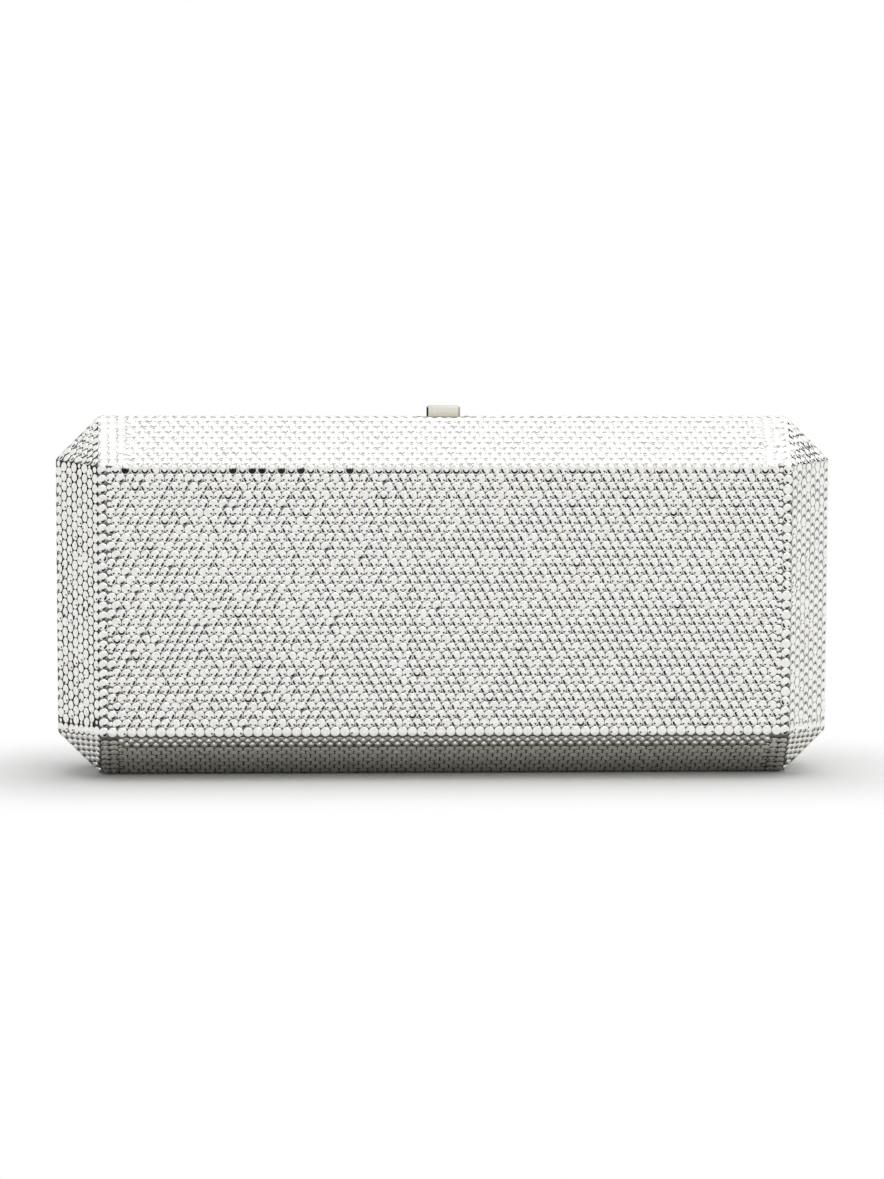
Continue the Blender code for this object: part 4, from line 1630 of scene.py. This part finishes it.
# Painted light: the right bevel's stones, outer facets, undersides and bed are painted lighter, as
# light falls from the right.
RIGHT_MIX = SparkleMix(
    left={Sparkle.PLAIN: 2, Sparkle.SPOT: 6, Sparkle.LEFT_DOT: 1},
    middle={Sparkle.PLAIN: 1, Sparkle.SPOT: 6, Sparkle.LEFT_DOT: 1},
    right={Sparkle.PLAIN: 1, Sparkle.SPOT: 8},
    painted_light=1.03,
    edge=1.04,
    below=1.0,
    bed=1.0,
)
TOP_CORNER_MIX = SparkleMix(
    left={Sparkle.PLAIN: 2, Sparkle.SMALL_CUP: 2, Sparkle.RIGHT_DASH: 2, Sparkle.LOW_DASH: 2},
    middle={Sparkle.PLAIN: 2, Sparkle.PAIR: 2, Sparkle.LEFT_DASH: 2, Sparkle.LOW_DASH: 2},
    right={Sparkle.PLAIN: 2, Sparkle.SMALL_CUP: 2, Sparkle.LEFT_DASH: 2, Sparkle.LOW_DASH: 2},
    depth=0.95,
    bed=0.4,
    unrest=3.0,
)
# Painted shade: dark beds, and high crowns painted as beads that are darker on their lower sides.
BOTTOM_CORNER_MIX = SparkleMix(
    left={Sparkle.PLAIN: 3, Sparkle.SMALL_CUP: 2, Sparkle.LOW_DASH: 2},
    middle={Sparkle.PLAIN: 3, Sparkle.CUP: 1, Sparkle.LOW_DASH: 2},
    right={Sparkle.PLAIN: 3, Sparkle.SMALL_CUP: 2, Sparkle.LOW_DASH: 2},
    bed=0.03,
    warmth=0.2,
    unrest=1.2,
    high=Sparkle.BEAD,
)
BOTTOM_ENDS = {Sparkle.LOW_DASH: 3, Sparkle.SIDES: 3, Sparkle.DROP: 2}
# Painted shade and reflections: the stones fade darker towards the bottom, the bed is dark, the
# drops are painted dark reflections, the two highest rows carry painted glints, and the warm cast
# stands in for the warm shade that these stones reflect.
BOTTOM_MIX = SparkleMix(
    left={Sparkle.DROP: 1},
    middle={Sparkle.DROP: 8, Sparkle.PLAIN: 1, Sparkle.LOW_DASH: 1},
    right={Sparkle.DROP: 1},
    scatter=0.32,
    fade=0.42,
    bed=0.2,
    warmth=0.9,
    border_reach=0.0036,
    left_border=BOTTOM_ENDS,
    right_border=BOTTOM_ENDS,
)
SMILES = {Sparkle.SMILE: 6, Sparkle.SMALL_CUP: 1, Sparkle.LOW_DASH: 1}
# Painted light: the top bevel's bed is painted fully light, as light falls from above; its smiles
# are painted dark reflections.
TOP_MIX = SparkleMix(
    left=SMILES,
    middle=SMILES,
    right=SMILES,
    depth=0.72,
    bed=1.0,
    border_reach=0.0068,
    left_border={Sparkle.SIDES: 5, Sparkle.PLAIN: 2},
    right_border={Sparkle.SIDES: 4, Sparkle.LOW_DASH: 3, Sparkle.ARROW: 1},
)
QUIET = {Sparkle.PLAIN: 3, Sparkle.PAIR: 1, Sparkle.LOW_DASH: 1}
BAND_MIX = SparkleMix(
    left=QUIET,
    middle=QUIET,
    right=QUIET,
    depth=0.5,
    bed=1.0,
)


@dataclass(frozen=True)
class Rim:
    """The eight-sided outline of a half case's frame, and the row of stones along it.

    Attributes:
        half_width: How far the outline reaches left and right.
        low: Its lowest height.
        high: Its highest height.
        chamfer: How far its corners are cut back.
        row_depth: How far the stones' centres lie from the seam.
        pitch: The spacing of the stones.
        end_room: How far the first stone of each side keeps from the corner.
        clasp_room: Half of the gap that the row leaves for the thumb tab.
        drop: How far the stones' bed lies below their tops.
    """

    half_width: float = 0.0941
    low: float = 0.0009
    high: float = 0.0872
    chamfer: float = 0.0099
    row_depth: float = 0.00285
    pitch: float = 0.00236
    end_room: float = 0.0008
    clasp_room: float = 0.00765
    drop: float = 0.00035

    def corners(self) -> list[Vector]:
        """Work out the outline's corners.

        Returns:
            The corners, clockwise from the left end of the top as seen from the front.
        """
        x, inner_x = self.half_width, self.half_width - self.chamfer
        low, high = self.low + self.chamfer, self.high - self.chamfer
        flat = (
            (-inner_x, self.high),
            (inner_x, self.high),
            (x, high),
            (x, low),
            (inner_x, self.low),
            (-inner_x, self.low),
            (-x, low),
            (-x, high),
        )
        return [Vector((a, 0, b)) for a, b in flat]

    def sides(self, depth: float, height: float) -> list[tuple[Vector, list[Course]]]:
        """Lay out the stones along each side.

        Args:
            depth: The row's place in Y.
            height: The height of the stones' tops over the outline.

        Returns:
            For each side, the direction that it faces and its courses.
        """
        corners = self.corners()
        laid = []
        for i, start in enumerate(corners):
            end = corners[(i + 1) % len(corners)]
            along = (end - start).normalized()
            normal = Vector((-along.z, 0, along.x))
            lift = Vector((0, depth, 0)) + normal * height
            room = (end - start).length
            spans = [(self.end_room, room - self.end_room)]
            if i == 0:
                spans = [
                    (self.end_room, room / 2 - self.clasp_room - self.pitch / 2),
                    (room / 2 + self.clasp_room + self.pitch / 2, room - self.end_room),
                ]
            courses = []
            for low, high in spans:
                gaps = round((high - low) / self.pitch)
                pitch = (high - low) / gaps
                courses.append(Course(start + along * low + lift, along, pitch, gaps + 1))
            laid.append((normal, courses))
        return laid


@dataclass
class HalfCase:
    """One half of the case: its paved facets, its band of stones and its shell.

    Attributes:
        half: Which half it is.
        setter: What sets the stones.
        crystal: The stones' material.
        setting: The material of the beds.
        sheet: The shell's material.
        rim: Its outline, with the band's row of stones.
        face: How the face is set.
        top_bevel: How the top bevel is set.
        bottom_bevel: How the bottom bevel is set.
        left_bevel: How the left bevel is set.
        right_bevel: How the right bevel is set.
        top_corner: How the upper corner facets are set.
        bottom_corner: How the lower corner facets are set.
    """

    half: Half
    setter: StoneSetter
    crystal: bpy.types.Material
    setting: bpy.types.Material
    sheet: bpy.types.Material
    rim: Rim = Rim()
    face: Pavement = Pavement(
        margin=0.001,
        borders=(1, 1),
        border_spacing=0.00205,
        filler=0.46,
        notch_filler=0.34,
    )
    top_bevel: Pavement = Pavement(margin=0.00102, borders=(3, 3), drop=0.0003)
    bottom_bevel: Pavement = Pavement(
        course_pitch=0.00182,
        borders=(2, 2),
        size=0.93,
        cut=Cut.FLAT,
        high_rows=(0, 1),
        notch_filler=0.64,
        notch_rise=0.00166,
        lead=0.0015,
    )
    left_bevel: Pavement = Pavement(borders=(1, 0), size=0.985)
    right_bevel: Pavement = Pavement(borders=(1, 0), cut=Cut.FLAT, drop=0.00028)
    top_corner: Pavement = Pavement(
        pitch=0.0022,
        course_pitch=0.00188,
        margin=0.00095,
        size=0.93,
        spread=True,
    )
    bottom_corner: Pavement = Pavement(
        pitch=0.00225,
        course_pitch=0.00196,
        margin=0.001,
        size=0.89,
        spread=True,
        cut=Cut.HIGH,
    )

    def facets(self) -> dict[str, tuple[Pavement, SparkleMix]]:
        """List the paved facets.

        Returns:
            Each one's pavement and glints, by the middle of its node's name.
        """
        facets = {
            "face": (self.face, FACE_MIX),
            "top": (self.top_bevel, TOP_MIX),
            "bottom": (self.bottom_bevel, BOTTOM_MIX),
            "left": (self.left_bevel, LEFT_MIX),
            "right": (self.right_bevel, RIGHT_MIX),
        }
        for side in ("left", "right"):
            facets["corner_top_" + side] = (self.top_corner, TOP_CORNER_MIX)
            facets["corner_bottom_" + side] = (self.bottom_corner, BOTTOM_CORNER_MIX)
        return facets

    def build(self) -> None:
        """Make and dress every piece of this half."""
        for place, (pavement, mix) in self.facets().items():
            name = f"{self.half.value}_{place}"
            node = name + "_stones"
            facet = Facet.of_node(node)
            courses = pavement.courses(facet)
            piece = self.setter.pave(name + "_crystals", courses, facet.normal, facet.up, mix)
            finish_piece(piece, self.crystal, "crystal", self.half.body, node)
            bed = self.bed(node, name + "_bed", facet, pavement.drop)
            # Painted light and shade: the bed is painted lighter or darker for how light falls on
            # its facet.
            self.paint_bed_light(bed, mix.bed)
            finish_piece(bed, self.setting, "crystal", self.half.body, node)
        self.build_band()
        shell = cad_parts[f"{self.half.value}_shell"]
        shell.data.materials.clear()
        shell.data.materials.append(self.sheet)
        LOG.info("%s: dressed in %s", shell.name, self.sheet.name)

    def bed(self, node: str, name: str, facet: Facet, drop: float) -> bpy.types.Object:
        """Make the thin bed that a facet's stones are glued in, from the facet's CAD sheet.

        Args:
            node: The CAD node's name.
            name: The bed's name.
            facet: The facet that it lies on.
            drop: How far it lies below the stones' tops.

        Returns:
            The bed.
        """
        bed = merged_copy(node, name)
        edit_faces(bed, lambda face: face.normal.dot(facet.normal) > SAME_WAY)
        bpy.ops.transform.translate(value=-facet.normal * drop)
        bpy.ops.object.mode_set(mode="OBJECT")
        return bed

    @staticmethod
    def paint_bed_light(bed: bpy.types.Object, paint_bed_light: float) -> None:
        """Paint a bed's light and shade: one lightness for all its faces, lighter or darker for how
        light falls on its facet.
        """
        attribute = bed.data.attributes.new("painted_bed_light", "FLOAT", "FACE")
        attribute.data.foreach_set("value", [paint_bed_light] * len(bed.data.polygons))

    def build_band(self) -> None:
        """Set the row of stones along the rim, and the bed under it."""
        depth = self.rim.row_depth * (-1 if self.half is Half.FRONT else 1)
        node = f"{self.half.value}_band_stones"
        sides = []
        for normal, courses in self.rim.sides(depth, self.setter.height):
            up = Vector((0, 0, 1)) if abs(normal.z) < HALFWAY else Vector((0, 1, 0))
            up = (up - normal * up.dot(normal)).normalized()
            sides.append(self.setter.pave("band_side", courses, normal, up, BAND_MIX))
        pick(sides[0], *sides[1:])
        bpy.ops.object.join()
        band = bpy.context.view_layer.objects.active
        band.name = band.data.name = f"{self.half.value}_band_crystals"
        finish_piece(band, self.crystal, "crystal", self.half.body, node)
        bed = merged_copy(node, f"{self.half.value}_band_bed")
        middle = (CAD_BOX[0] + CAD_BOX[1]) / 2
        edit_faces(bed, lambda face: self.outward(face, middle))
        bpy.ops.transform.shrink_fatten(value=-self.rim.drop, use_even_offset=True)
        bpy.ops.object.mode_set(mode="OBJECT")
        self.paint_bed_light(bed, BAND_MIX.bed)
        finish_piece(bed, self.setting, "crystal", self.half.body, node)

    @staticmethod
    def outward(face: bpy.types.MeshPolygon, middle: Vector) -> bool:
        """Whether a face of the band points away from the bag's middle.

        Args:
            face: The face.
            middle: The bag's middle.

        Returns:
            True for the faces under the stones' tops.
        """
        away = face.center - middle
        away.y = 0
        return abs(face.normal.y) < ASKEW and face.normal.dot(away) > 0


@dataclass(frozen=True)
class WorkedPart:
    """A part that keeps its CAD shape, with its edges broken and its round faces smoothed.

    Attributes:
        node: The CAD node that it is worked from.
        body: The body that it rides on.
        finish: The name of its finish.
        slot: The record's material slot.
        edge: How much of each edge is broken.
        steps: How many facets round each edge.
        pressed: Below 1, the part gets a mesh of its own; nothing presses it when the slide is
            open.
        sharp: The angle from which an edge is broken, in degrees.
        smoothed: The angle up to which it is shaded smoothly, in degrees.
    """

    node: str
    body: Body
    finish: str
    slot: str
    edge: float = 0.00008
    steps: int = 2
    pressed: float = 1.0
    sharp: float = 38
    smoothed: float = 35

    def build(self, finishes: dict[str, bpy.types.Material]) -> bpy.types.Object:
        """Work the part.

        Args:
            finishes: The finishes by name.

        Returns:
            The finished part.
        """
        part = merged_copy(self.node, self.node + "_worked")
        break_edges(part, self.edge, self.steps, self.sharp)
        smooth(part, self.smoothed)
        finish_piece(part, finishes[self.finish], self.slot, self.body.value, self.node)
        if self.pressed < 1:
            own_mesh(part)
        return part


WORKED_PARTS = (
    WorkedPart("front_frame", Body.FRONT, "plating", "plated_metal"),
    WorkedPart("rear_frame", Body.REAR, "plating", "plated_metal"),
    WorkedPart("front_hinge_leaf", Body.FRONT, "plating", "plated_metal", 0.00006),
    WorkedPart("rear_hinge_leaf", Body.REAR, "plating", "plated_metal", 0.00006),
    WorkedPart("front_lining", Body.FRONT, "leather", "lining", 0.0002, 3),
    WorkedPart("rear_lining", Body.REAR, "leather", "lining", 0.0002, 3),
    WorkedPart("hinge_pin", Body.REAR, "steel", "steel", 0.0001),
    WorkedPart("clasp_housing", Body.REAR, "steel", "steel", 0.00005),
    WorkedPart("slide_bar", Body.SLIDER, "steel", "steel", 0.00008),
    WorkedPart("catch_spring", Body.FRONT, "steel", "steel", 0.00005, pressed=0.46),
    WorkedPart("catch_block", Body.FRONT, "steel", "steel", 0.0001),
    WorkedPart("catch_rivet_left", Body.FRONT, "steel", "steel", 0.00005),
    WorkedPart("catch_rivet_right", Body.FRONT, "steel", "steel", 0.00005),
)


@dataclass(frozen=True)
class ThumbTab:
    """The thumb tab: a small satin block with crisp facets on its upright corners, and painted
    light and shade on its faces.

    Attributes:
        node: The CAD node that it is worked from.
        edge: How much of each edge is broken.
        left_light: How light the facets at its left end are painted, a painted dark reflection.
        right_light: How light those at its right end are painted, a painted grey reflection.
        top_light: How light its top is painted, and the slopes around that: painted shade.
        steps: How many facets round each edge.
        sharp: The angle from which an edge is broken, in degrees.
        smoothed: The angle up to which it is shaded smoothly, in degrees.
    """

    node: str = "thumb_tab"
    edge: float = 0.00007
    left_light: float = 0.01
    right_light: float = 0.5
    top_light: float = 0.6
    steps: int = 2
    sharp: float = 30
    smoothed: float = 25

    def build(self, finish: bpy.types.Material) -> bpy.types.Object:
        """Work the tab.

        Args:
            finish: Its material.

        Returns:
            The finished tab.
        """
        tab = merged_copy(self.node, "thumb_tab_worked")
        # Painted light and shade: dark reflections on the end facets and a darker top.
        attribute = tab.data.attributes.new("facet_light", "FLOAT", "FACE")
        lights = [self.light(face.normal) for face in tab.data.polygons]
        attribute.data.foreach_set("value", lights)
        break_edges(tab, self.edge, self.steps, self.sharp)
        smooth(tab, self.smoothed)
        return finish_piece(tab, finish, "plated_metal", Body.SLIDER.value, self.node)

    def light(self, normal: Vector) -> float:
        """Say how light a face is painted.

        Args:
            normal: The direction that it faces.

        Returns:
            The share of the light that it keeps.
        """
        if ASKEW < abs(normal.x) < NEARLY_ALONG and abs(normal.z) < ASKEW:
            return self.left_light if normal.x < 0 else self.right_light
        return self.top_light if normal.z > HALFWAY else 1.0


@dataclass(frozen=True)
class SlottedScrew:
    """A small pan-head screw with a straight slot, which holds the clasp housing.

    Attributes:
        node: The CAD node that it stands for.
        slot_width: The slot's width.
        slot_depth: The slot's depth.
        turn: The slot's turn, in degrees.
        slot_reach: The cutter's length, as a share of the head's width.
        smoothed: The angle up to which it is shaded smoothly, in degrees.
    """

    node: str
    slot_width: float = 0.00032
    slot_depth: float = 0.00025
    turn: float = 20
    slot_reach: float = 1.4
    smoothed: float = 35

    def build(self, finish: bpy.types.Material) -> bpy.types.Object:
        """Model the screw: its CAD shape with a slot cut across the head.

        Args:
            finish: Its material.

        Returns:
            The finished screw.
        """
        low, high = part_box(self.node)
        screw = merged_copy(self.node, self.node + "_slotted")
        head = max(face.center.z for face in screw.data.polygons)
        foot = min(face.center.z for face in screw.data.polygons)
        tall = head if self.head_is_up(screw, head, foot) else foot
        deselect_all()
        middle = ((low[0] + high[0]) / 2, (low[1] + high[1]) / 2, tall)
        bpy.ops.mesh.primitive_cube_add(size=1, location=middle)
        cutter = bpy.context.object
        reach = self.slot_reach * (high[0] - low[0])
        cutter.scale = (reach, self.slot_width, 2 * self.slot_depth)
        cutter.rotation_euler.z = math.radians(self.turn)
        bpy.ops.object.transform_apply()
        apply_modifier(screw, "BOOLEAN", object=cutter, operation="DIFFERENCE", solver="EXACT")
        bpy.data.objects.remove(cutter)
        smooth(screw, self.smoothed)
        return finish_piece(screw, finish, "steel", Body.REAR.value, self.node)

    @staticmethod
    def head_is_up(screw: bpy.types.Object, head: float, foot: float) -> bool:
        """Whether the wider end of a screw is its upper end.

        Args:
            screw: The screw.
            head: The height of its upper end.
            foot: The height of its lower end.

        Returns:
            True where the head faces up.
        """
        places = [vertex.co for vertex in screw.data.vertices]
        middle = (head + foot) / 2
        upper = [p.x for p in places if p.z > middle]
        lower = [p.x for p in places if p.z < middle]
        return max(upper) - min(upper) > max(lower) - min(lower)


@dataclass(frozen=True)
class CoilSpring:
    """The return spring: an open coil of round wire along X.

    Attributes:
        node: The CAD node that it stands for.
        wire_radius: The wire's radius.
        turns: The number of turns.
        wire_sides: The number of sides of the wire.
        steps: The number of steps in a turn.
        pressed: The share of its length that it would keep when the slide is open; not used.
        smoothed: The angle up to which it is shaded smoothly, in degrees.
    """

    node: str = "return_spring"
    wire_radius: float = 0.00016
    turns: int = 6
    wire_sides: int = 10
    steps: int = 28
    pressed: float = 0.61
    smoothed: float = 50

    def build(self, finish: bpy.types.Material) -> bpy.types.Object:
        """Wind the spring inside its CAD solid's box.

        Args:
            finish: Its material.

        Returns:
            The finished spring.
        """
        low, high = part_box(self.node)
        coil_radius = (high[2] - low[2]) / 2 - self.wire_radius
        length = high[0] - low[0] - 2 * self.wire_radius
        deselect_all()
        bpy.ops.mesh.primitive_circle_add(vertices=self.wire_sides, radius=self.wire_radius)
        spring = bpy.context.object
        spring.name = spring.data.name = "return_spring_coil"
        spring.location = (0, 0, coil_radius)
        spring.rotation_euler = (math.radians(90), 0, 0)
        bpy.ops.object.transform_apply()
        apply_modifier(
            spring,
            "SCREW",
            axis="X",
            angle=2 * math.pi * self.turns,
            screw_offset=length,
            steps=self.steps * self.turns,
            render_steps=self.steps * self.turns,
            use_merge_vertices=True,
        )
        edit_faces(spring, lambda face: False)
        bpy.ops.mesh.select_mode(type="EDGE")
        bpy.ops.mesh.select_non_manifold()
        bpy.ops.mesh.fill_holes(sides=0)
        bpy.ops.mesh.select_all(action="SELECT")
        bpy.ops.mesh.normals_make_consistent(inside=False)
        bpy.ops.object.mode_set(mode="OBJECT")
        axis = ((low[1] + high[1]) / 2, (low[2] + high[2]) / 2)
        spring.data.transform(Matrix.Translation((low[0] + self.wire_radius, *axis)))
        smooth(spring, self.smoothed)
        finish_piece(spring, finish, "steel", Body.REAR.value, self.node)
        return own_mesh(spring)


@dataclass
class Studio:
    """The floor, the white surroundings, the soft light and the camera.

    Attributes:
        target: The point that the camera faces.
        distance: How far from it the camera stands.
        pitch: How far the camera looks down, in radians.
        yaw: How far it stands to the left, in radians.
        roll: How far it is turned about its own axis, in radians.
        lens: Its focal length, in millimetres.
        sensor: Its sensor's width, in millimetres.
        nearest: The least distance that it sees.
        furthest: The greatest one.
        floor_reach: The floor's side.
        ambient: The strength of the light from all around.
        light_place: Where the soft light hangs.
        light_size: Its side.
        light_power: Its power, in watts.
    """

    target: Vector = Vector((-0.00027, 0, 0.04514))
    distance: float = 0.779
    pitch: float = math.radians(5.39)
    yaw: float = math.radians(2.5)
    roll: float = math.radians(0.14)
    lens: float = 96.15
    sensor: float = 36
    nearest: float = 0.01
    furthest: float = 50
    floor_reach: float = 12.0
    ambient: float = 0.5
    light_place: Vector = Vector((0.35, -0.15, 1.5))
    light_size: float = 2.2
    light_power: float = 17.0

    def build(self) -> None:
        """Make the floor, the surroundings, the light and the camera."""
        self.make_floor()
        self.make_world()
        self.make_light()
        self.make_camera()
        bpy.context.scene.view_settings.view_transform = "Standard"

    def make_floor(self) -> None:
        """Lay the pale paper under the bag."""
        deselect_all()
        bpy.ops.mesh.primitive_plane_add(size=self.floor_reach, location=(0, 0, 0))
        floor = bpy.context.object
        floor.name = "paper_floor"
        floor.data.materials.append(PaperFinish().build())

    def make_world(self) -> None:
        """Set the plain pale surroundings, which the camera, metal and glass see as white."""
        world = bpy.data.worlds.new("studio")
        bpy.context.scene.world = world
        world.use_nodes = True
        tree = world.node_tree
        shown = tree.nodes["Background"]
        shown.inputs["Strength"].default_value = 1.0
        shown.inputs["Color"].default_value = (1, 1, 1, 1)
        soft = tree.nodes.new("ShaderNodeBackground")
        soft.inputs["Strength"].default_value = self.ambient
        mix = tree.nodes.new("ShaderNodeMixShader")
        tree.links.new(seen_rays(tree), mix.inputs["Fac"])
        tree.links.new(soft.outputs[0], mix.inputs[1])
        tree.links.new(shown.outputs[0], mix.inputs[2])
        tree.links.new(mix.outputs[0], tree.nodes["World Output"].inputs["Surface"])

    def make_light(self) -> None:
        """Hang the soft light, facing the middle of the bag's foot."""
        deselect_all()
        turn = (-self.light_place).to_track_quat("-Z", "Y").to_euler()
        bpy.ops.object.light_add(type="AREA", location=self.light_place, rotation=turn)
        light = bpy.context.object
        light.name = "overhead_softbox"
        light.data.size = self.light_size
        light.data.energy = self.light_power
        LOG.info("%s: %.1f W", light.name, self.light_power)

    def make_camera(self) -> None:
        """Place the camera where the photograph was taken from."""
        back = Vector(
            (
                -math.sin(self.yaw) * math.cos(self.pitch),
                -math.cos(self.yaw) * math.cos(self.pitch),
                math.sin(self.pitch),
            )
        )
        deselect_all()
        bpy.ops.object.camera_add(location=self.target + back * self.distance)
        camera = bpy.context.object
        camera.name = "view_camera"
        turn = (-back).to_track_quat("-Z", "Y").to_matrix() @ Matrix.Rotation(self.roll, 3, "Z")
        camera.rotation_euler = turn.to_euler()
        camera.data.sensor_fit = "AUTO"
        camera.data.sensor_width = self.sensor
        camera.data.lens = self.lens
        camera.data.clip_start = self.nearest
        camera.data.clip_end = self.furthest
        bpy.context.scene.camera = camera


def main() -> None:
    """Build the bag, its studio and its camera."""
    finishes = {name: finish.build() for name, finish in FINISHES.items()}
    setter = StoneSetter()
    for half in Half:
        case = HalfCase(half, setter, finishes["crystal"], finishes["setting"], finishes["sheet"])
        case.build()
    setter.clear()
    for part in WORKED_PARTS:
        part.build(finishes)
    ThumbTab().build(finishes["tab"])
    SlottedScrew("housing_screw_left", turn=25).build(finishes["steel"])
    SlottedScrew("housing_screw_right", turn=-40).build(finishes["steel"])
    CoilSpring().build(finishes["steel"])
    Studio().build()


if __name__ == "__main__":
    main()
